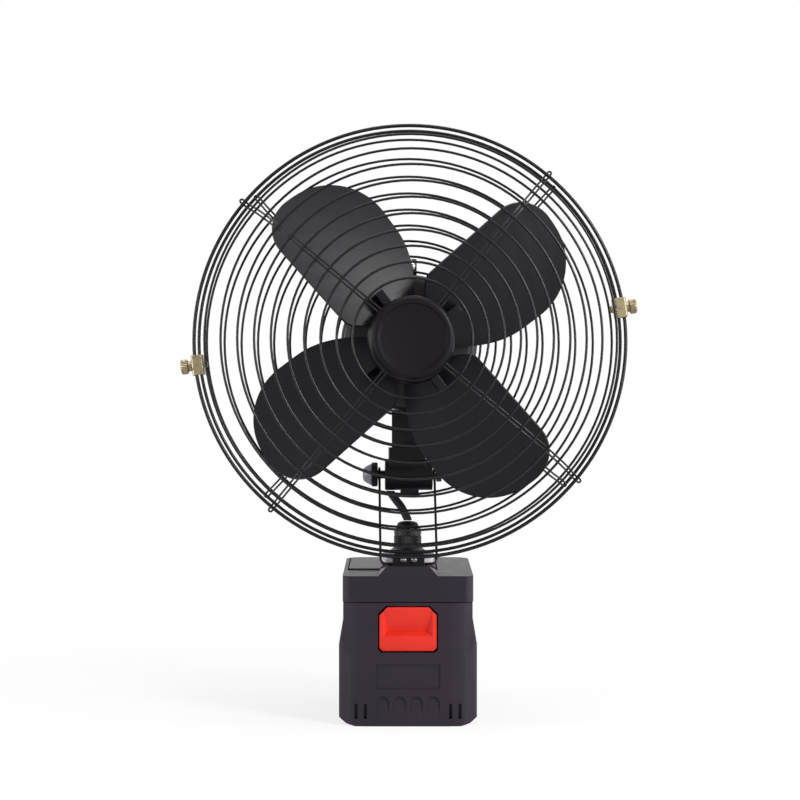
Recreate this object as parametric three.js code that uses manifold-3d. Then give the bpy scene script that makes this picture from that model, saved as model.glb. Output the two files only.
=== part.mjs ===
// A cordless ten-inch wire-cage fan that stands on a slide-on tool battery.
// Millimetres, +Z up. The origin is the middle of the battery's underside, the
// fan blows towards -Y and +X is to the right of somebody who faces the fan.
//
// From the bottom up: a battery pack with its cells and red release latch, an
// adapter that slides onto the battery's rail, a swivel neck, a bent-wire yoke
// and, on the yoke's tilt bolt, the head: motor, four-blade rotor and a wire
// cage of two guards.

import * as THREE from 'three';
import { mergeVertices } from 'three/addons/utils/BufferGeometryUtils.js';
import Module from 'manifold-3d';

const wasm = await Module();
wasm.setup();

// ---------------------------------------------------------------- dimensions

// Fits
const GAP = 0.3; // air between neighbours that touch, or that turn on each other
const RUN = 0.5; // side clearance of sliding parts
const LAP = 0.4; // how far wires run into each other where they are welded
const WALL = 2.2; // moulded wall

// Battery case
const CASE_W = 79.8;
const CASE_D = 112;
const CASE_SPLIT_Z = 40.5; // joint between the lower and the upper case
const POD_TOP_Z = 46.5; // where the side pods stop and the case narrows
const SHOULDER_Z = 62.5; // where it has narrowed to its shoulder
const SHOULDER_STEP = 2.7; // drawn in on each side
const DECK_Z = 58; // top deck that carries the rail
const BLOCK_TOP_Z = 71; // top of the front block that holds the latch
const BLOCK_DEPTH = 16;
const CASE_CORNER_R = 8; // rear corners
const FRONT_CURVE_X = 18; // the front curves away towards its sides
const FRONT_CURVE_Y = 6;
const FOOT_X = 4.2; // rounded edge along each side of the underside
const FOOT_Z = 4.6;
const FOOT_FLAT_X = 5.3;
const FOOT_FLAT_Z = 1.4;
const POD_SETBACK = 1.2; // of the side pods, behind the raised middle of the front
const POD_EDGE = [[2.9, 44], [1.6, 50], [-8, 58]]; // middle's outline: from the side, height
const POD_FLANK_X = 6; // slope of the middle's flanks down to the pods
const POD_FLANK_Y = 4;
const PLATE_W = 37; // plain recessed panel on the front
const PLATE_LOW_Z = 21.5;
const PLATE_HIGH_Z = 35.6;
const RELIEF = 0.9; // depth of the recessed panel
const SCOOP_W = 7.4;
const SCOOP_PITCH = 9.7;
const SCOOP_LOW_Z = 5.5; // where the scoop runs out
const SCOOP_HIGH_Z = 17.2;
const SCOOP_DEPTH = 1.7; // at its top
const SLOT_W = 1.8; // corner slots beside the scoops
const SLOT_PITCH = 5.4;
const SLOT_X = 27.2; // middle of each pair
const SLOT_LOW_Z = 4.3;
const SLOT_HIGH_Z = 13;
const SLOT_DEPTH = 4;
const SLOT_BACK = 1.6; // wall behind and beside the slots

// Battery rail, a T that the adapter slides on
const RAIL_NECK_W = 38;
const RAIL_HEAD_W = 48;
const RAIL_STEP_Z = 64.6;
const RAIL_TOP_Z = 70.4;
const RAIL_INSET = 12; // from the case's rear to the rail's end

// Battery inside
const CELL_D = 18.4;
const CELL_L = 65;
const CELL_PITCH = 18.8;
const CELLS_IN_ROW = 5;
const CELL_ROWS = 2;
const CELL_LIFT = 1.6; // clears the chamfered edges of the case
const HOLDER_T = 1.6;
const HOLDER_FOOT = 3.5;
const HOLDER_HOLE = 0.6; // of the cell's diameter
const BOARD_T = 1.6;
const BOARD_W = 54;
const BLADE_COUNT = 4; // contact blades
const BLADE_PITCH = 7;
const BLADE_T = 1;
const BLADE_REACH = 13;

// Release latch
const LATCH_W = 32.8;
const LATCH_LOW_Z = 43.2;
const LATCH_HIGH_Z = 68.6;
const LATCH_PROUD = 0.3;
const LATCH_T = 9;
const LATCH_TRAVEL = 3;
const LATCH_CHAMFER = 4.6;
const LATCH_FOOT_CHAMFER = 1.8;
const LATCH_GAP = 0.8; // dark gap all round the latch
const LATCH_LIP_Z = 4.9; // height of the sloping lip below the scoop
const LATCH_LIP_FALL = 1.6;
const THUMB_W = 28.4; // thumb scoop at the face
const THUMB_FLOOR_W = 22.8; // and at its floor
const THUMB_DEPTH = 4.2;
const THUMB_MARGIN = 2; // face above the scoop
const THUMB_H = 14.8;
const THUMB_LEDGE_H = 3.4; // slope that the thumb presses on
const HOOK_W = 12;
const HOOK_T = 3;
const SPRING_R = 3;
const SPRING_BORE = 4; // depth of its seat in the latch

// Adapter
const ADAPTER_FRONT_INSET = 1; // behind the battery's front
const ADAPTER_REAR_INSET = 6; // ahead of its rear
const ADAPTER_LAP = 0.5; // wider than the case's shoulder, on each side
const ADAPTER_TOP_Z = 86.4; // at the front edge
const ADAPTER_RISE = 1.5; // the top rises this much to the rear
const ADAPTER_CORNER_R = 9;
const ADAPTER_FRONT_R = 5;
const FLOOR_T = 2.1; // floor between the rail slot and the electronics
const COVER_SEAM_Y = -23; // front edge of the top cover
const COVER_LOW_Z = 84.4;
const COVER_RIGHT_X = 17.5; // the cover leaves out the right wing
const COVER_JOINT = 0.7; // open joint round the cover
const PLATFORM_W = 33;
const PLATFORM_Z = 88;
const PLATFORM_BEVEL = 1;
const NOSE_TOP_Z = 92; // the wedge on the front
const NOSE_TOP_W = 24.6;
const NOSE_FOOT_W = 34.4;
const NOSE_END_Y = -26.5;
const SWITCH_W = 19.2;
const SWITCH_Z = 78.7;
const SWITCH_H = 10.8;
const SWITCH_D = 13;
const CONTROL_W = 48; // control board on the adapter's floor
const CONTROL_L = 53;
const CONTROL_Y = -20;
const ROCKER_W = 15;
const ROCKER_H = 8;

// Swivel
const POST_D = 8;
const POST_NUT_D = 12;
const POST_NUT_H = 4;
const BOSS_D = 24; // round seat on the cover that the swivel turns on
const BOSS_H = 1.9;
const BLOCK_W = 30.8; // white nylon block between the legs of the wire yoke
const BLOCK_D = 30;
const BLOCK_T = 3.2;
const SKIRT_D = 32;
const SKIRT_H = 5;
const NECK_D = 16.5;
const NECK_H = 11;
const CAP_D = 12.9;
const CAP_H = 4;
const SADDLE_W = 18.6;
const SADDLE_T = 3.1;
const SADDLE_SCREW_PITCH = 6.2;
const SADDLE_SCREW_D = 2;
const SADDLE_HEAD_D = 3.8;
const SADDLE_SCREW_L = 3.4;
const LUG_RISE = 3.4; // front lug of the neck above the skirt's foot

// Wire yoke and tilt joint
const YOKE_WIRE_D = 1.5;
const YOKE_W = 33.4;
const YOKE_FRONT_Y = -17.4;
const YOKE_LOW_Z = 90;
const YOKE_BEND_R = 4;
const TILT_Y = 12;
const TILT_Z = 141.5;
const BOLT_D = 5;
const BOLT_HEAD_D = 9;
const BOLT_HEAD_T = 3.2;
const EYE_D = 7.6; // middle of the eye's wire
const BARREL_D = 19;
const BARREL_LEFT = 13.3; // from the middle to each end of the barrel
const BARREL_RIGHT = 15.3;
const BLOCK_NECK_W = 22;
const BLOCK_NECK_H = 16.5;
const BLOCK_SLOT_DEPTH = 4.5; // foot of the bracket above the tilt axis
const LUG_W = 11;
const LUG_DROP = 3;
const KNOB_D = 14.6;
const KNOB_L = 9;
const KNOB_FLUTES = 10;
const KNOB_GRIP_L = 3.6;
const FLUTE_D = 1.8;
const LEAD_D = 4.9;
const LEAD_OFFSET = 9.8;

// Pose of the head at rest, in degrees
const HEAD_PAN = 1.8; // to the right of somebody who faces the fan
const HEAD_TILT = 2.2; // upwards

// Head, measured with the fan axis level
const FAN_Z = 219.3;
const RIM_Y = -51.2; // plane of the front guard's rim
const MOTOR_D = 80;
const MOTOR_FRONT_Y = -35;
const MOTOR_REAR_Y = 11;
const MOTOR_WALL = 2.2;
const COVER_BULGE = 5.5;
const COVER_EDGE = 10; // width of the rear cover's sloping edge
const SHAFT_D = 5;
const BEARING_D = 16;
const BEARING_T = 5;
const MAGNET_T = 12;
const MAGNET_SETBACK = 13; // behind the front of the motor
const ARMATURE_D = 47;
const ARMATURE_L = 26;
const ARMATURE_SLOTS = 6;
const BRACKET_W = 18;
const BRACKET_T = 2.6;
const BRACKET_TOP_Z = 207;
const BRACKET_SCREW_D = 3;
const BRACKET_SCREW_PITCH = 7;

// Cage
const RING_FIRST_R = 33.8;
const RING_MARGIN = 6.65; // from the last ring to the rim
const RING_GROWTH = 0.05; // the rings spread a little towards the rim
const RING_COUNT = 10;
const RING_WIRE_D = 1.5;
const RIM_R = 124.6;
const RIM_WIRE_D = 2.1;
const REAR_RIM_INSET = 2.6;
const REAR_RIM_WIRE_D = 1.9;
const RIM_STEP = 4.2; // the rear rim lies this far behind the front one
const FRONT_DOME = 33;
const REAR_DOME = 29;
const DOME_POWER = 8;
const SPOKE_WIRE_D = 1.1;
const SPOKE_SPREAD = 2.1; // between the two legs of a hairpin spoke
const SPOKE_COUNT = 4;
const FRONT_SPOKE_ANGLE = 50.3;
const REAR_SPOKE_ANGLE = 47;
const SPOKE_START_R = 13;
const SPOKE_PAST_RIM = 3.4;
const REAR_SPOKE_PAST_RIM = 1.3;
const SPOKE_END_L = 2.4; // each spoke turns in this far inside its rim
const RIM_SEGMENTS = 48;
const SPOKE_STOPS = [3, 5, 6, 7, 8, 9]; // rings between which a spoke runs straight
const BADGE_POST_R = 4;
const BADGE_D = 47;
const BADGE_T = 6.5;
const BADGE_DISH_D = 38.6;
const CLIP_ANGLES = [9, 186.5];
const CLIP_W = 11.6;
const CLIP_T = 0.8;
const CLIP_DEPTH = 13;
const CLIP_SCREW_D = 2.6;
const WING_D = 8.6;
const WING_L = 6.4;
const GUARD_SCREWS = 3;
const GUARD_SCREW_R = 46.3; // from the fan axis
const GUARD_SCREW_D = 3;
const GUARD_HEAD_D = 8;
const LUG_REACH_R = 50.5;

// Rotor
const BLADE_MID_Y = -51;
const BLADES = 4;
const BLADE_TIP_R = 107.3;
const BLADE_LEAD_W = 33.5; // from the blade's centre line to its leading edge
const BLADE_TRAIL_W = 30.3; // to the line of its trailing edge, at the tip
const BLADE_TRAIL_TAPER = 0.085; // by which that width falls per mm of the way in
const BLADE_PLATE = 1.8;
const BLADE_CENTRE_ANGLE = 37;
const BLADE_ROOT_PITCH = 24;
const BLADE_TIP_PITCH = 15;
const BLADE_CAMBER = 3;
const BLADE_START_R = 17;
const LEAD_FULL_R = 58; // the leading edge draws in from here to the root
const LEAD_ROOT_IN = 17.5; // by this much
const TRAIL_FULL_R = 31.5;
const TRAIL_ROOT_IN = 20;
const BLADE_ROWS = [0, 0.1, 0.22, 0.4, 0.62, 0.77, 0.88, 0.96, 1]; // shares of its length
const BLADE_COLUMNS = 4;
const LEAD_CORNER = 37.5;
const TRAIL_CORNER = 22;
const HUB_D = 50;
const HUB_DEPTH = 23;
const HUB_AHEAD = 0.7; // share of the hub that lies ahead of the blades' middle
const HUB_WALL = 2;
const HUB_BOSS_R = 6;
const RIB_W = 5; // stiffening block on each blade's root
const RIB_END_R = 33.5;
const RIB_SETBACK = 7; // of its face behind the hub's
const RIB_SHIFT = 2; // towards the leading edge
const MOTOR_AIR = 2.5; // between the blades and the motor
const NUT_D = 13;
const NUT_T = 4;
const SHAFT_PAST_NUT = 1.5;

// ------------------------------------------------------------------- helpers

const HALF_TURN = Math.PI;
const FULL_TURN = 2 * Math.PI;

function radians(degrees) {
  return THREE.MathUtils.degToRad(degrees);
}

// A closed geometry as a solid, whichever way round its outline was drawn.
function solid(geometry) {
  const bare = new THREE.BufferGeometry();
  bare.setAttribute('position', geometry.getAttribute('position'));
  bare.setIndex(geometry.getIndex());
  const merged = mergeVertices(bare, 1e-4);
  const spots = merged.getAttribute('position').array;
  const corners = [...merged.getIndex().array];
  const kept = [];
  let volume = 0;
  for (let i = 0; i < corners.length; i += 3) {
    const [a, b, c] = corners.slice(i, i + 3);
    if (a === b || b === c || c === a) {
      continue;
    }
    kept.push(a, b, c);
    const pa = new THREE.Vector3().fromArray(spots, 3 * a);
    const pb = new THREE.Vector3().fromArray(spots, 3 * b);
    const pc = new THREE.Vector3().fromArray(spots, 3 * c);
    volume += pa.dot(pb.cross(pc));
  }
  const triVerts = new Uint32Array(volume < 0 ? kept.reverse() : kept);
  const vertProperties = new Float32Array(spots);
  return new wasm.Manifold(new wasm.Mesh({ numProp: 3, vertProperties, triVerts }));
}

function geometryOf(body) {
  const mesh = body.getMesh();
  const geometry = new THREE.BufferGeometry();
  const spots = new Float32Array(mesh.vertProperties);
  geometry.setAttribute('position', new THREE.BufferAttribute(spots, 3));
  geometry.setIndex(new THREE.BufferAttribute(new Uint32Array(mesh.triVerts), 1));
  geometry.computeVertexNormals();
  return geometry;
}

function join(first, ...others) {
  return others.reduce((body, other) => body.add(other), first);
}

function cut(first, ...others) {
  return others.reduce((body, other) => body.subtract(other), first);
}

function box(x0, x1, y0, y1, z0, z1) {
  const geometry = new THREE.BoxGeometry(x1 - x0, y1 - y0, z1 - z0);
  geometry.translate((x0 + x1) / 2, (y0 + y1) / 2, (z0 + z1) / 2);
  return solid(geometry);
}

// Turns local axes so that a shape drawn flat is swept along the named axis.
// Outlines are (x, y) for 'z', (x, z) for 'y' and (y, z) for 'x'.
const X_AXIS = new THREE.Vector3(1, 0, 0);
const Y_AXIS = new THREE.Vector3(0, 1, 0);
const Z_AXIS = new THREE.Vector3(0, 0, 1);
const SWEEPS = {
  x: new THREE.Matrix4().makeBasis(Y_AXIS, Z_AXIS, X_AXIS),
  y: new THREE.Matrix4().makeBasis(X_AXIS, Z_AXIS, Y_AXIS.clone().negate()),
  z: new THREE.Matrix4(),
};

function prism(axis, shape, from, to, curveSegments = 6) {
  const depth = to - from;
  const geometry = new THREE.ExtrudeGeometry(shape, {
    depth, bevelEnabled: false, curveSegments,
  });
  geometry.translate(0, 0, axis === 'y' ? -to : from);
  geometry.applyMatrix4(SWEEPS[axis]);
  return solid(geometry);
}

function outline(points) {
  return new THREE.Shape(points.map(([u, v]) => new THREE.Vector2(u, v)));
}

// A body of revolution: the outline holds [radius, place along the axis] pairs.
const LATHES = {
  x: new THREE.Matrix4().makeBasis(Y_AXIS, X_AXIS, Z_AXIS.clone().negate()),
  y: new THREE.Matrix4(),
  z: new THREE.Matrix4().makeBasis(X_AXIS, Z_AXIS, Y_AXIS.clone().negate()),
};

function turned(axis, profile, [u, v], segments = 24) {
  const points = profile.map(([r, h]) => new THREE.Vector2(r, h));
  const geometry = new THREE.LatheGeometry(points, segments);
  geometry.applyMatrix4(LATHES[axis]);
  const shift = { x: [0, u, v], y: [u, 0, v], z: [u, v, 0] }[axis];
  geometry.translate(...shift);
  return solid(geometry);
}

function rod(axis, diameter, from, to, centre = [0, 0], segments = 16) {
  const r = diameter / 2;
  return turned(axis, [[0, from], [r, from], [r, to], [0, to]], centre, segments);
}

function washer(axis, outer, inner, from, to, centre = [0, 0], segments = 24) {
  const [ro, ri] = [outer / 2, inner / 2];
  const loop = [[ri, from], [ro, from], [ro, to], [ri, to], [ri, from]];
  return turned(axis, loop, centre, segments);
}

function hexNut(axis, across, bore, from, to, centre) {
  const body = rod(axis, across, from, to, centre, 6);
  return cut(body, rod(axis, bore, from - 1, to + 1, centre, 16));
}

function wire(path, diameter, steps, sides) {
  const section = new THREE.Shape();
  for (let i = 0; i < sides; i += 1) {
    const a = FULL_TURN * (i + 0.5) / sides;
    const point = [diameter / 2 * Math.cos(a), diameter / 2 * Math.sin(a)];
    if (i === 0) {
      section.moveTo(...point);
    } else {
      section.lineTo(...point);
    }
  }
  section.closePath();
  return solid(new THREE.ExtrudeGeometry(section, { steps, extrudePath: path }));
}

function smooth(points) {
  return new THREE.CatmullRomCurve3(points.map((p) => new THREE.Vector3(...p)));
}

// A rounded rectangle in plan, with its own corner radius in front and behind.
// The front corners may be elliptical, frontR across and frontY deep.
function plan(halfWidth, front, rear, frontR, rearR, frontY = frontR) {
  const shape = new THREE.Shape();
  const quarter = HALF_TURN / 2;
  const right = halfWidth - frontR;
  shape.moveTo(-right, front);
  shape.lineTo(right, front);
  shape.absellipse(right, front + frontY, frontR, frontY, -quarter, 0);
  shape.lineTo(halfWidth, rear - rearR);
  shape.absarc(halfWidth - rearR, rear - rearR, rearR, 0, quarter);
  shape.lineTo(-halfWidth + rearR, rear);
  shape.absarc(-halfWidth + rearR, rear - rearR, rearR, quarter, 2 * quarter);
  shape.lineTo(-halfWidth, front + frontY);
  shape.absellipse(-right, front + frontY, frontR, frontY, -2 * quarter, -quarter);
  return shape;
}

function mirrored(half) {
  const left = half.map(([x, z]) => [-x, z]).reverse();
  return outline([...half, ...left]);
}

// ----------------------------------------------------------------- materials

function finish(color, roughness, metalness = 0) {
  return new THREE.MeshStandardMaterial({ color, roughness, metalness });
}

const BLACK_PLASTIC = finish('#2d2a31', 0.5);
const GREY_PLASTIC = finish('#35323a', 0.45);
const RED_PLASTIC = finish('#e0402c', 0.4);
const WHITE_NYLON = finish('#e6e1ea', 0.5);
const BLACK_PAINT = finish('#17171b', 0.35);
const BLADE_PLASTIC = finish('#2c2b33', 0.4);
const DARK_METAL = finish('#232228', 0.4, 0.4);
const BRIGHT_STEEL = finish('#b9b8ba', 0.3, 1);
const BRASS = finish('#a5977f', 0.35, 1);
const COPPER = finish('#b0713d', 0.4, 1);
const BOARD_GREEN = finish('#2c5a3a', 0.6);
const CELL_BLUE = finish('#3b6fa0', 0.5);
const RUBBER = finish('#222126', 0.7);
const MAGNET = finish('#4a484c', 0.6, 0.2);

// Three frames: the battery stands still, the swivel turns with the neck, and
// the head leans on the tilt bolt. Pieces keep their level places in each.
const fan = new THREE.Group();
const swivel = new THREE.Group();
swivel.rotation.z = radians(HEAD_PAN);
fan.add(swivel);
const tilt = new THREE.Group();
tilt.position.set(0, TILT_Y, TILT_Z);
tilt.rotation.x = -radians(HEAD_TILT);
swivel.add(tilt);
const head = new THREE.Group();
head.position.set(0, -TILT_Y, -TILT_Z);
tilt.add(head);

function piece(parent, name, material, body) {
  const mesh = new THREE.Mesh(geometryOf(body), material);
  mesh.name = name;
  parent.add(mesh);
}

// ------------------------------------------------------------------- battery

const CASE_FRONT_Y = -CASE_D / 2;
const CASE_REAR_Y = CASE_D / 2;
const BLOCK_REAR_Y = CASE_FRONT_Y + BLOCK_DEPTH;
const RAIL_START_Y = BLOCK_REAR_Y - 1;
const SHOULDER_W = CASE_W - 2 * SHOULDER_STEP;
const RAIL_END_Y = CASE_REAR_Y - RAIL_INSET;

// Bounds the raised middle of the front: a slab whose front edges are bevelled.
function raisedMiddle(half, front) {
  const edge = POD_EDGE.map(([fromSide, z]) => [half - fromSide, z]);
  const shape = mirrored([
    [edge[0][0], -CASE_SPLIT_Z],
    ...edge,
    [edge.at(-1)[0], 2 * BLOCK_TOP_Z],
  ]);
  const geometry = new THREE.ExtrudeGeometry(shape, {
    depth: -front - POD_FLANK_Y,
    bevelThickness: POD_FLANK_Y,
    bevelSize: POD_FLANK_X,
    bevelOffset: -POD_FLANK_X,
    bevelSegments: 1,
  });
  geometry.applyMatrix4(SWEEPS.y);
  return solid(geometry);
}

// The pack's outer form between two heights, shrunk by an inset for its hollow.
function caseForm(low, high, inset) {
  const half = CASE_W / 2 - inset;
  const shoulder = half - SHOULDER_STEP;
  const front = CASE_FRONT_Y + inset;
  const rear = CASE_REAR_Y - inset;
  const form = (setback) => prism('z', plan(
    half, front + setback, rear, FRONT_CURVE_X, CASE_CORNER_R, FRONT_CURVE_Y,
  ), low, high);
  const middle = form(0).intersect(raisedMiddle(half, front));
  const profile = prism('y', mirrored([
    [half - FOOT_X - FOOT_FLAT_X, inset],
    [half - FOOT_X, inset + FOOT_FLAT_Z],
    [half, inset + FOOT_Z],
    [half, POD_TOP_Z],
    [shoulder, SHOULDER_Z],
    [shoulder, BLOCK_TOP_Z + 1],
  ]), CASE_FRONT_Y, CASE_REAR_Y);
  return join(form(POD_SETBACK), middle).intersect(profile);
}

function lowerCase() {
  const shell = caseForm(0, CASE_SPLIT_Z, 0);
  const hollow = caseForm(WALL, CASE_SPLIT_Z + 1, WALL);
  const face = CASE_FRONT_Y;
  const plate = box(
    -PLATE_W / 2, PLATE_W / 2, face - 1, face + RELIEF, PLATE_LOW_Z, PLATE_HIGH_Z,
  );
  const cuts = [plate];
  const runOut = prism('x', outline([
    [face - 1, SCOOP_LOW_Z],
    [face, SCOOP_LOW_Z],
    [face + SCOOP_DEPTH, SCOOP_HIGH_Z],
    [face - 1, SCOOP_HIGH_Z],
  ]), -CASE_W, CASE_W);
  for (let i = 0; i < 4; i += 1) {
    const x = (i - 1.5) * SCOOP_PITCH;
    const arch = new THREE.Shape();
    const r = SCOOP_W / 2;
    arch.moveTo(x - r, SCOOP_LOW_Z);
    arch.lineTo(x + r, SCOOP_LOW_Z);
    arch.lineTo(x + r, SCOOP_HIGH_Z - r);
    arch.absarc(x, SCOOP_HIGH_Z - r, r, 0, HALF_TURN);
    cuts.push(prism('y', arch, face - 1, face + SCOOP_DEPTH).intersect(runOut));
  }
  const pads = [];
  for (const x of [-SLOT_X, SLOT_X]) {
    const padHalf = (SLOT_PITCH + SLOT_W) / 2 + SLOT_BACK;
    pads.push(box(
      x - padHalf, x + padHalf, face, face + SLOT_DEPTH + SLOT_BACK, 0, SLOT_HIGH_Z + SLOT_BACK,
    ));
    for (const side of [-0.5, 0.5]) {
      const middle = x + side * SLOT_PITCH;
      cuts.push(box(
        middle - SLOT_W / 2, middle + SLOT_W / 2,
        face - 1, face + SLOT_DEPTH, SLOT_LOW_Z, SLOT_HIGH_Z,
      ));
    }
  }
  return cut(shell, cut(hollow, ...pads), ...cuts);
}

const POCKET_W = LATCH_W + 2 * LATCH_GAP;
const LATCH_FRONT_Y = CASE_FRONT_Y - LATCH_PROUD;
const LATCH_BACK_Y = LATCH_FRONT_Y + LATCH_T;
const POCKET_BACK_Y = LATCH_BACK_Y + LATCH_TRAVEL + RUN;
const HOOK_Y = LATCH_BACK_Y - HOOK_T - 1;

const RAIL_PROFILE = [
  [RAIL_NECK_W / 2, DECK_Z - 1],
  [RAIL_NECK_W / 2, RAIL_STEP_Z],
  [RAIL_HEAD_W / 2, RAIL_STEP_Z],
  [RAIL_HEAD_W / 2, RAIL_TOP_Z],
];

const SOCKET_MARGIN = 5; // beside the outer contact blades
const SOCKET_W = (BLADE_COUNT - 1) * BLADE_PITCH + 2 * SOCKET_MARGIN;
const SOCKET_START_Y = RAIL_END_Y - BLADE_REACH - 4;
const SOCKET_LOW_Z = DECK_Z + 2.2;
const SOCKET_HIGH_Z = RAIL_TOP_Z - 2;

// Outline of the latch's face, or of its pocket, which is larger all round.
function latchOutline(clearance) {
  const half = LATCH_W / 2 + clearance;
  const low = LATCH_LOW_Z - clearance;
  const high = LATCH_HIGH_Z + clearance;
  return mirrored([
    [half - LATCH_FOOT_CHAMFER, low],
    [half, low + LATCH_FOOT_CHAMFER],
    [half, high - LATCH_CHAMFER],
    [half - LATCH_CHAMFER, high],
  ]);
}

function upperCase() {
  const block = cut(
    caseForm(CASE_SPLIT_Z, BLOCK_TOP_Z, 0),
    box(-CASE_W, CASE_W, BLOCK_REAR_Y, CASE_D, DECK_Z, BLOCK_TOP_Z + 1),
  );
  const rail = prism('y', mirrored(RAIL_PROFILE), RAIL_START_Y, RAIL_END_Y);
  const room = caseForm(CASE_SPLIT_Z - 1, DECK_Z - WALL, WALL);
  const bay = box(
    -SHOULDER_W / 2 + WALL, SHOULDER_W / 2 - WALL,
    CASE_FRONT_Y + WALL + FRONT_CURVE_Y, BLOCK_REAR_Y - WALL,
    DECK_Z - WALL - 1, BLOCK_TOP_Z - WALL,
  );
  const under = box(
    -RAIL_NECK_W / 2 + WALL, RAIL_NECK_W / 2 - WALL,
    BLOCK_REAR_Y, SOCKET_START_Y - WALL,
    DECK_Z - WALL - 1, RAIL_STEP_Z,
  );
  const housing = box(
    -POCKET_W / 2 - WALL, POCKET_W / 2 + WALL,
    CASE_FRONT_Y + WALL, POCKET_BACK_Y + WALL, CASE_SPLIT_Z, BLOCK_TOP_Z,
  );
  const pocket = prism('y', latchOutline(LATCH_GAP), CASE_FRONT_Y - 1, POCKET_BACK_Y);
  const hookSlot = box(
    -HOOK_W / 2 - RUN, HOOK_W / 2 + RUN,
    HOOK_Y - RUN, HOOK_Y + HOOK_T + LATCH_TRAVEL + RUN, LATCH_HIGH_Z, BLOCK_TOP_Z + 1,
  );
  const socket = box(
    -SOCKET_W / 2, SOCKET_W / 2,
    SOCKET_START_Y, RAIL_END_Y + 1, SOCKET_LOW_Z, SOCKET_HIGH_Z,
  );
  const hollow = join(room, bay, under).subtract(housing);
  return cut(join(block, rail), hollow, pocket, hookSlot, socket);
}

function terminals() {
  const body = box(
    -SOCKET_W / 2 + GAP, SOCKET_W / 2 - GAP,
    SOCKET_START_Y + GAP, RAIL_END_Y - GAP,
    SOCKET_LOW_Z, SOCKET_HIGH_Z - GAP,
  );
  const cuts = bladePlaces().map((x) => box(
    x - BLADE_T / 2 - RUN, x + BLADE_T / 2 + RUN,
    RAIL_END_Y - BLADE_REACH - 1, RAIL_END_Y + 1,
    SOCKET_LOW_Z + 1, SOCKET_HIGH_Z,
  ));
  return cut(body, ...cuts);
}

function bladePlaces() {
  return Array.from({ length: BLADE_COUNT }, (_, i) => (i - (BLADE_COUNT - 1) / 2) * BLADE_PITCH);
}

const CELLS_TOP_Z = WALL + CELL_LIFT + CELL_D + (CELL_ROWS - 1) * CELL_PITCH;
const HOLDER_TOP_Z = CELLS_TOP_Z - 2;

function cellPlaces() {
  const places = [];
  for (let row = 0; row < CELL_ROWS; row += 1) {
    for (let i = 0; i < CELLS_IN_ROW; i += 1) {
      const y = (i - (CELLS_IN_ROW - 1) / 2) * CELL_PITCH;
      const z = WALL + CELL_LIFT + CELL_D / 2 + row * CELL_PITCH;
      places.push([y, z]);
    }
  }
  return places;
}

function cellHolder() {
  const start = CELL_L / 2 + GAP;
  const end = start + HOLDER_T;
  const reach = CELLS_IN_ROW * CELL_PITCH / 2;
  const plate = box(start, end, -reach, reach, WALL + HOLDER_FOOT, HOLDER_TOP_Z);
  const holes = cellPlaces().map((place) => (
    rod('x', CELL_D * HOLDER_HOLE, start - 1, end + 1, place, 6)
  ));
  return cut(plate, ...holes);
}

function latch() {
  const face = prism('y', latchOutline(0), LATCH_FRONT_Y, LATCH_BACK_Y);
  const lipZ = LATCH_LOW_Z + LATCH_LIP_Z;
  const thumbTop = LATCH_HIGH_Z - THUMB_MARGIN;
  const thumbLow = thumbTop - THUMB_H;
  const floorY = LATCH_FRONT_Y + THUMB_DEPTH;
  const fall = prism('x', outline([
    [LATCH_FRONT_Y - 1, thumbLow],
    [LATCH_FRONT_Y, thumbLow],
    [floorY, thumbLow + THUMB_LEDGE_H],
    [floorY, thumbLow + THUMB_LEDGE_H + 1],
    [LATCH_FRONT_Y, thumbTop],
    [LATCH_FRONT_Y - 1, thumbTop],
  ]), -LATCH_W, LATCH_W);
  const sides = prism('z', outline([
    [-THUMB_W / 2, LATCH_FRONT_Y - 1],
    [THUMB_W / 2, LATCH_FRONT_Y - 1],
    [THUMB_W / 2, LATCH_FRONT_Y],
    [THUMB_FLOOR_W / 2, floorY],
    [-THUMB_FLOOR_W / 2, floorY],
    [-THUMB_W / 2, LATCH_FRONT_Y],
  ]), LATCH_LOW_Z, LATCH_HIGH_Z);
  const chin = prism('x', outline([
    [LATCH_FRONT_Y - 1, LATCH_LOW_Z - 1],
    [LATCH_FRONT_Y + LATCH_LIP_FALL, LATCH_LOW_Z - 1],
    [LATCH_FRONT_Y + LATCH_LIP_FALL, LATCH_LOW_Z],
    [LATCH_FRONT_Y, lipZ],
    [LATCH_FRONT_Y - 1, lipZ],
  ]), -LATCH_W, LATCH_W);
  const middleZ = (LATCH_LOW_Z + LATCH_HIGH_Z) / 2;
  const bore = rod(
    'y', 2 * (SPRING_R + RUN), LATCH_BACK_Y - SPRING_BORE, LATCH_BACK_Y + 1, [0, middleZ],
  );
  const hook = box(
    -HOOK_W / 2, HOOK_W / 2, HOOK_Y, HOOK_Y + HOOK_T,
    LATCH_HIGH_Z - 1, BLOCK_TOP_Z - RUN,
  );
  return cut(join(face, hook), fall.intersect(sides), chin, bore);
}

// Drawn at its pressed length, so that the latch can be pushed over it.
function latchSpring() {
  const middleZ = (LATCH_LOW_Z + LATCH_HIGH_Z) / 2;
  const front = LATCH_BACK_Y - SPRING_BORE + LATCH_TRAVEL + GAP;
  return rod('y', 2 * SPRING_R, front, POCKET_BACK_Y - GAP, [0, middleZ], 10);
}

function batteryBoard() {
  const low = CELLS_TOP_Z + GAP;
  return box(-BOARD_W / 2, BOARD_W / 2, POCKET_BACK_Y + WALL + 2, RAIL_END_Y, low, low + BOARD_T);
}

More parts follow.
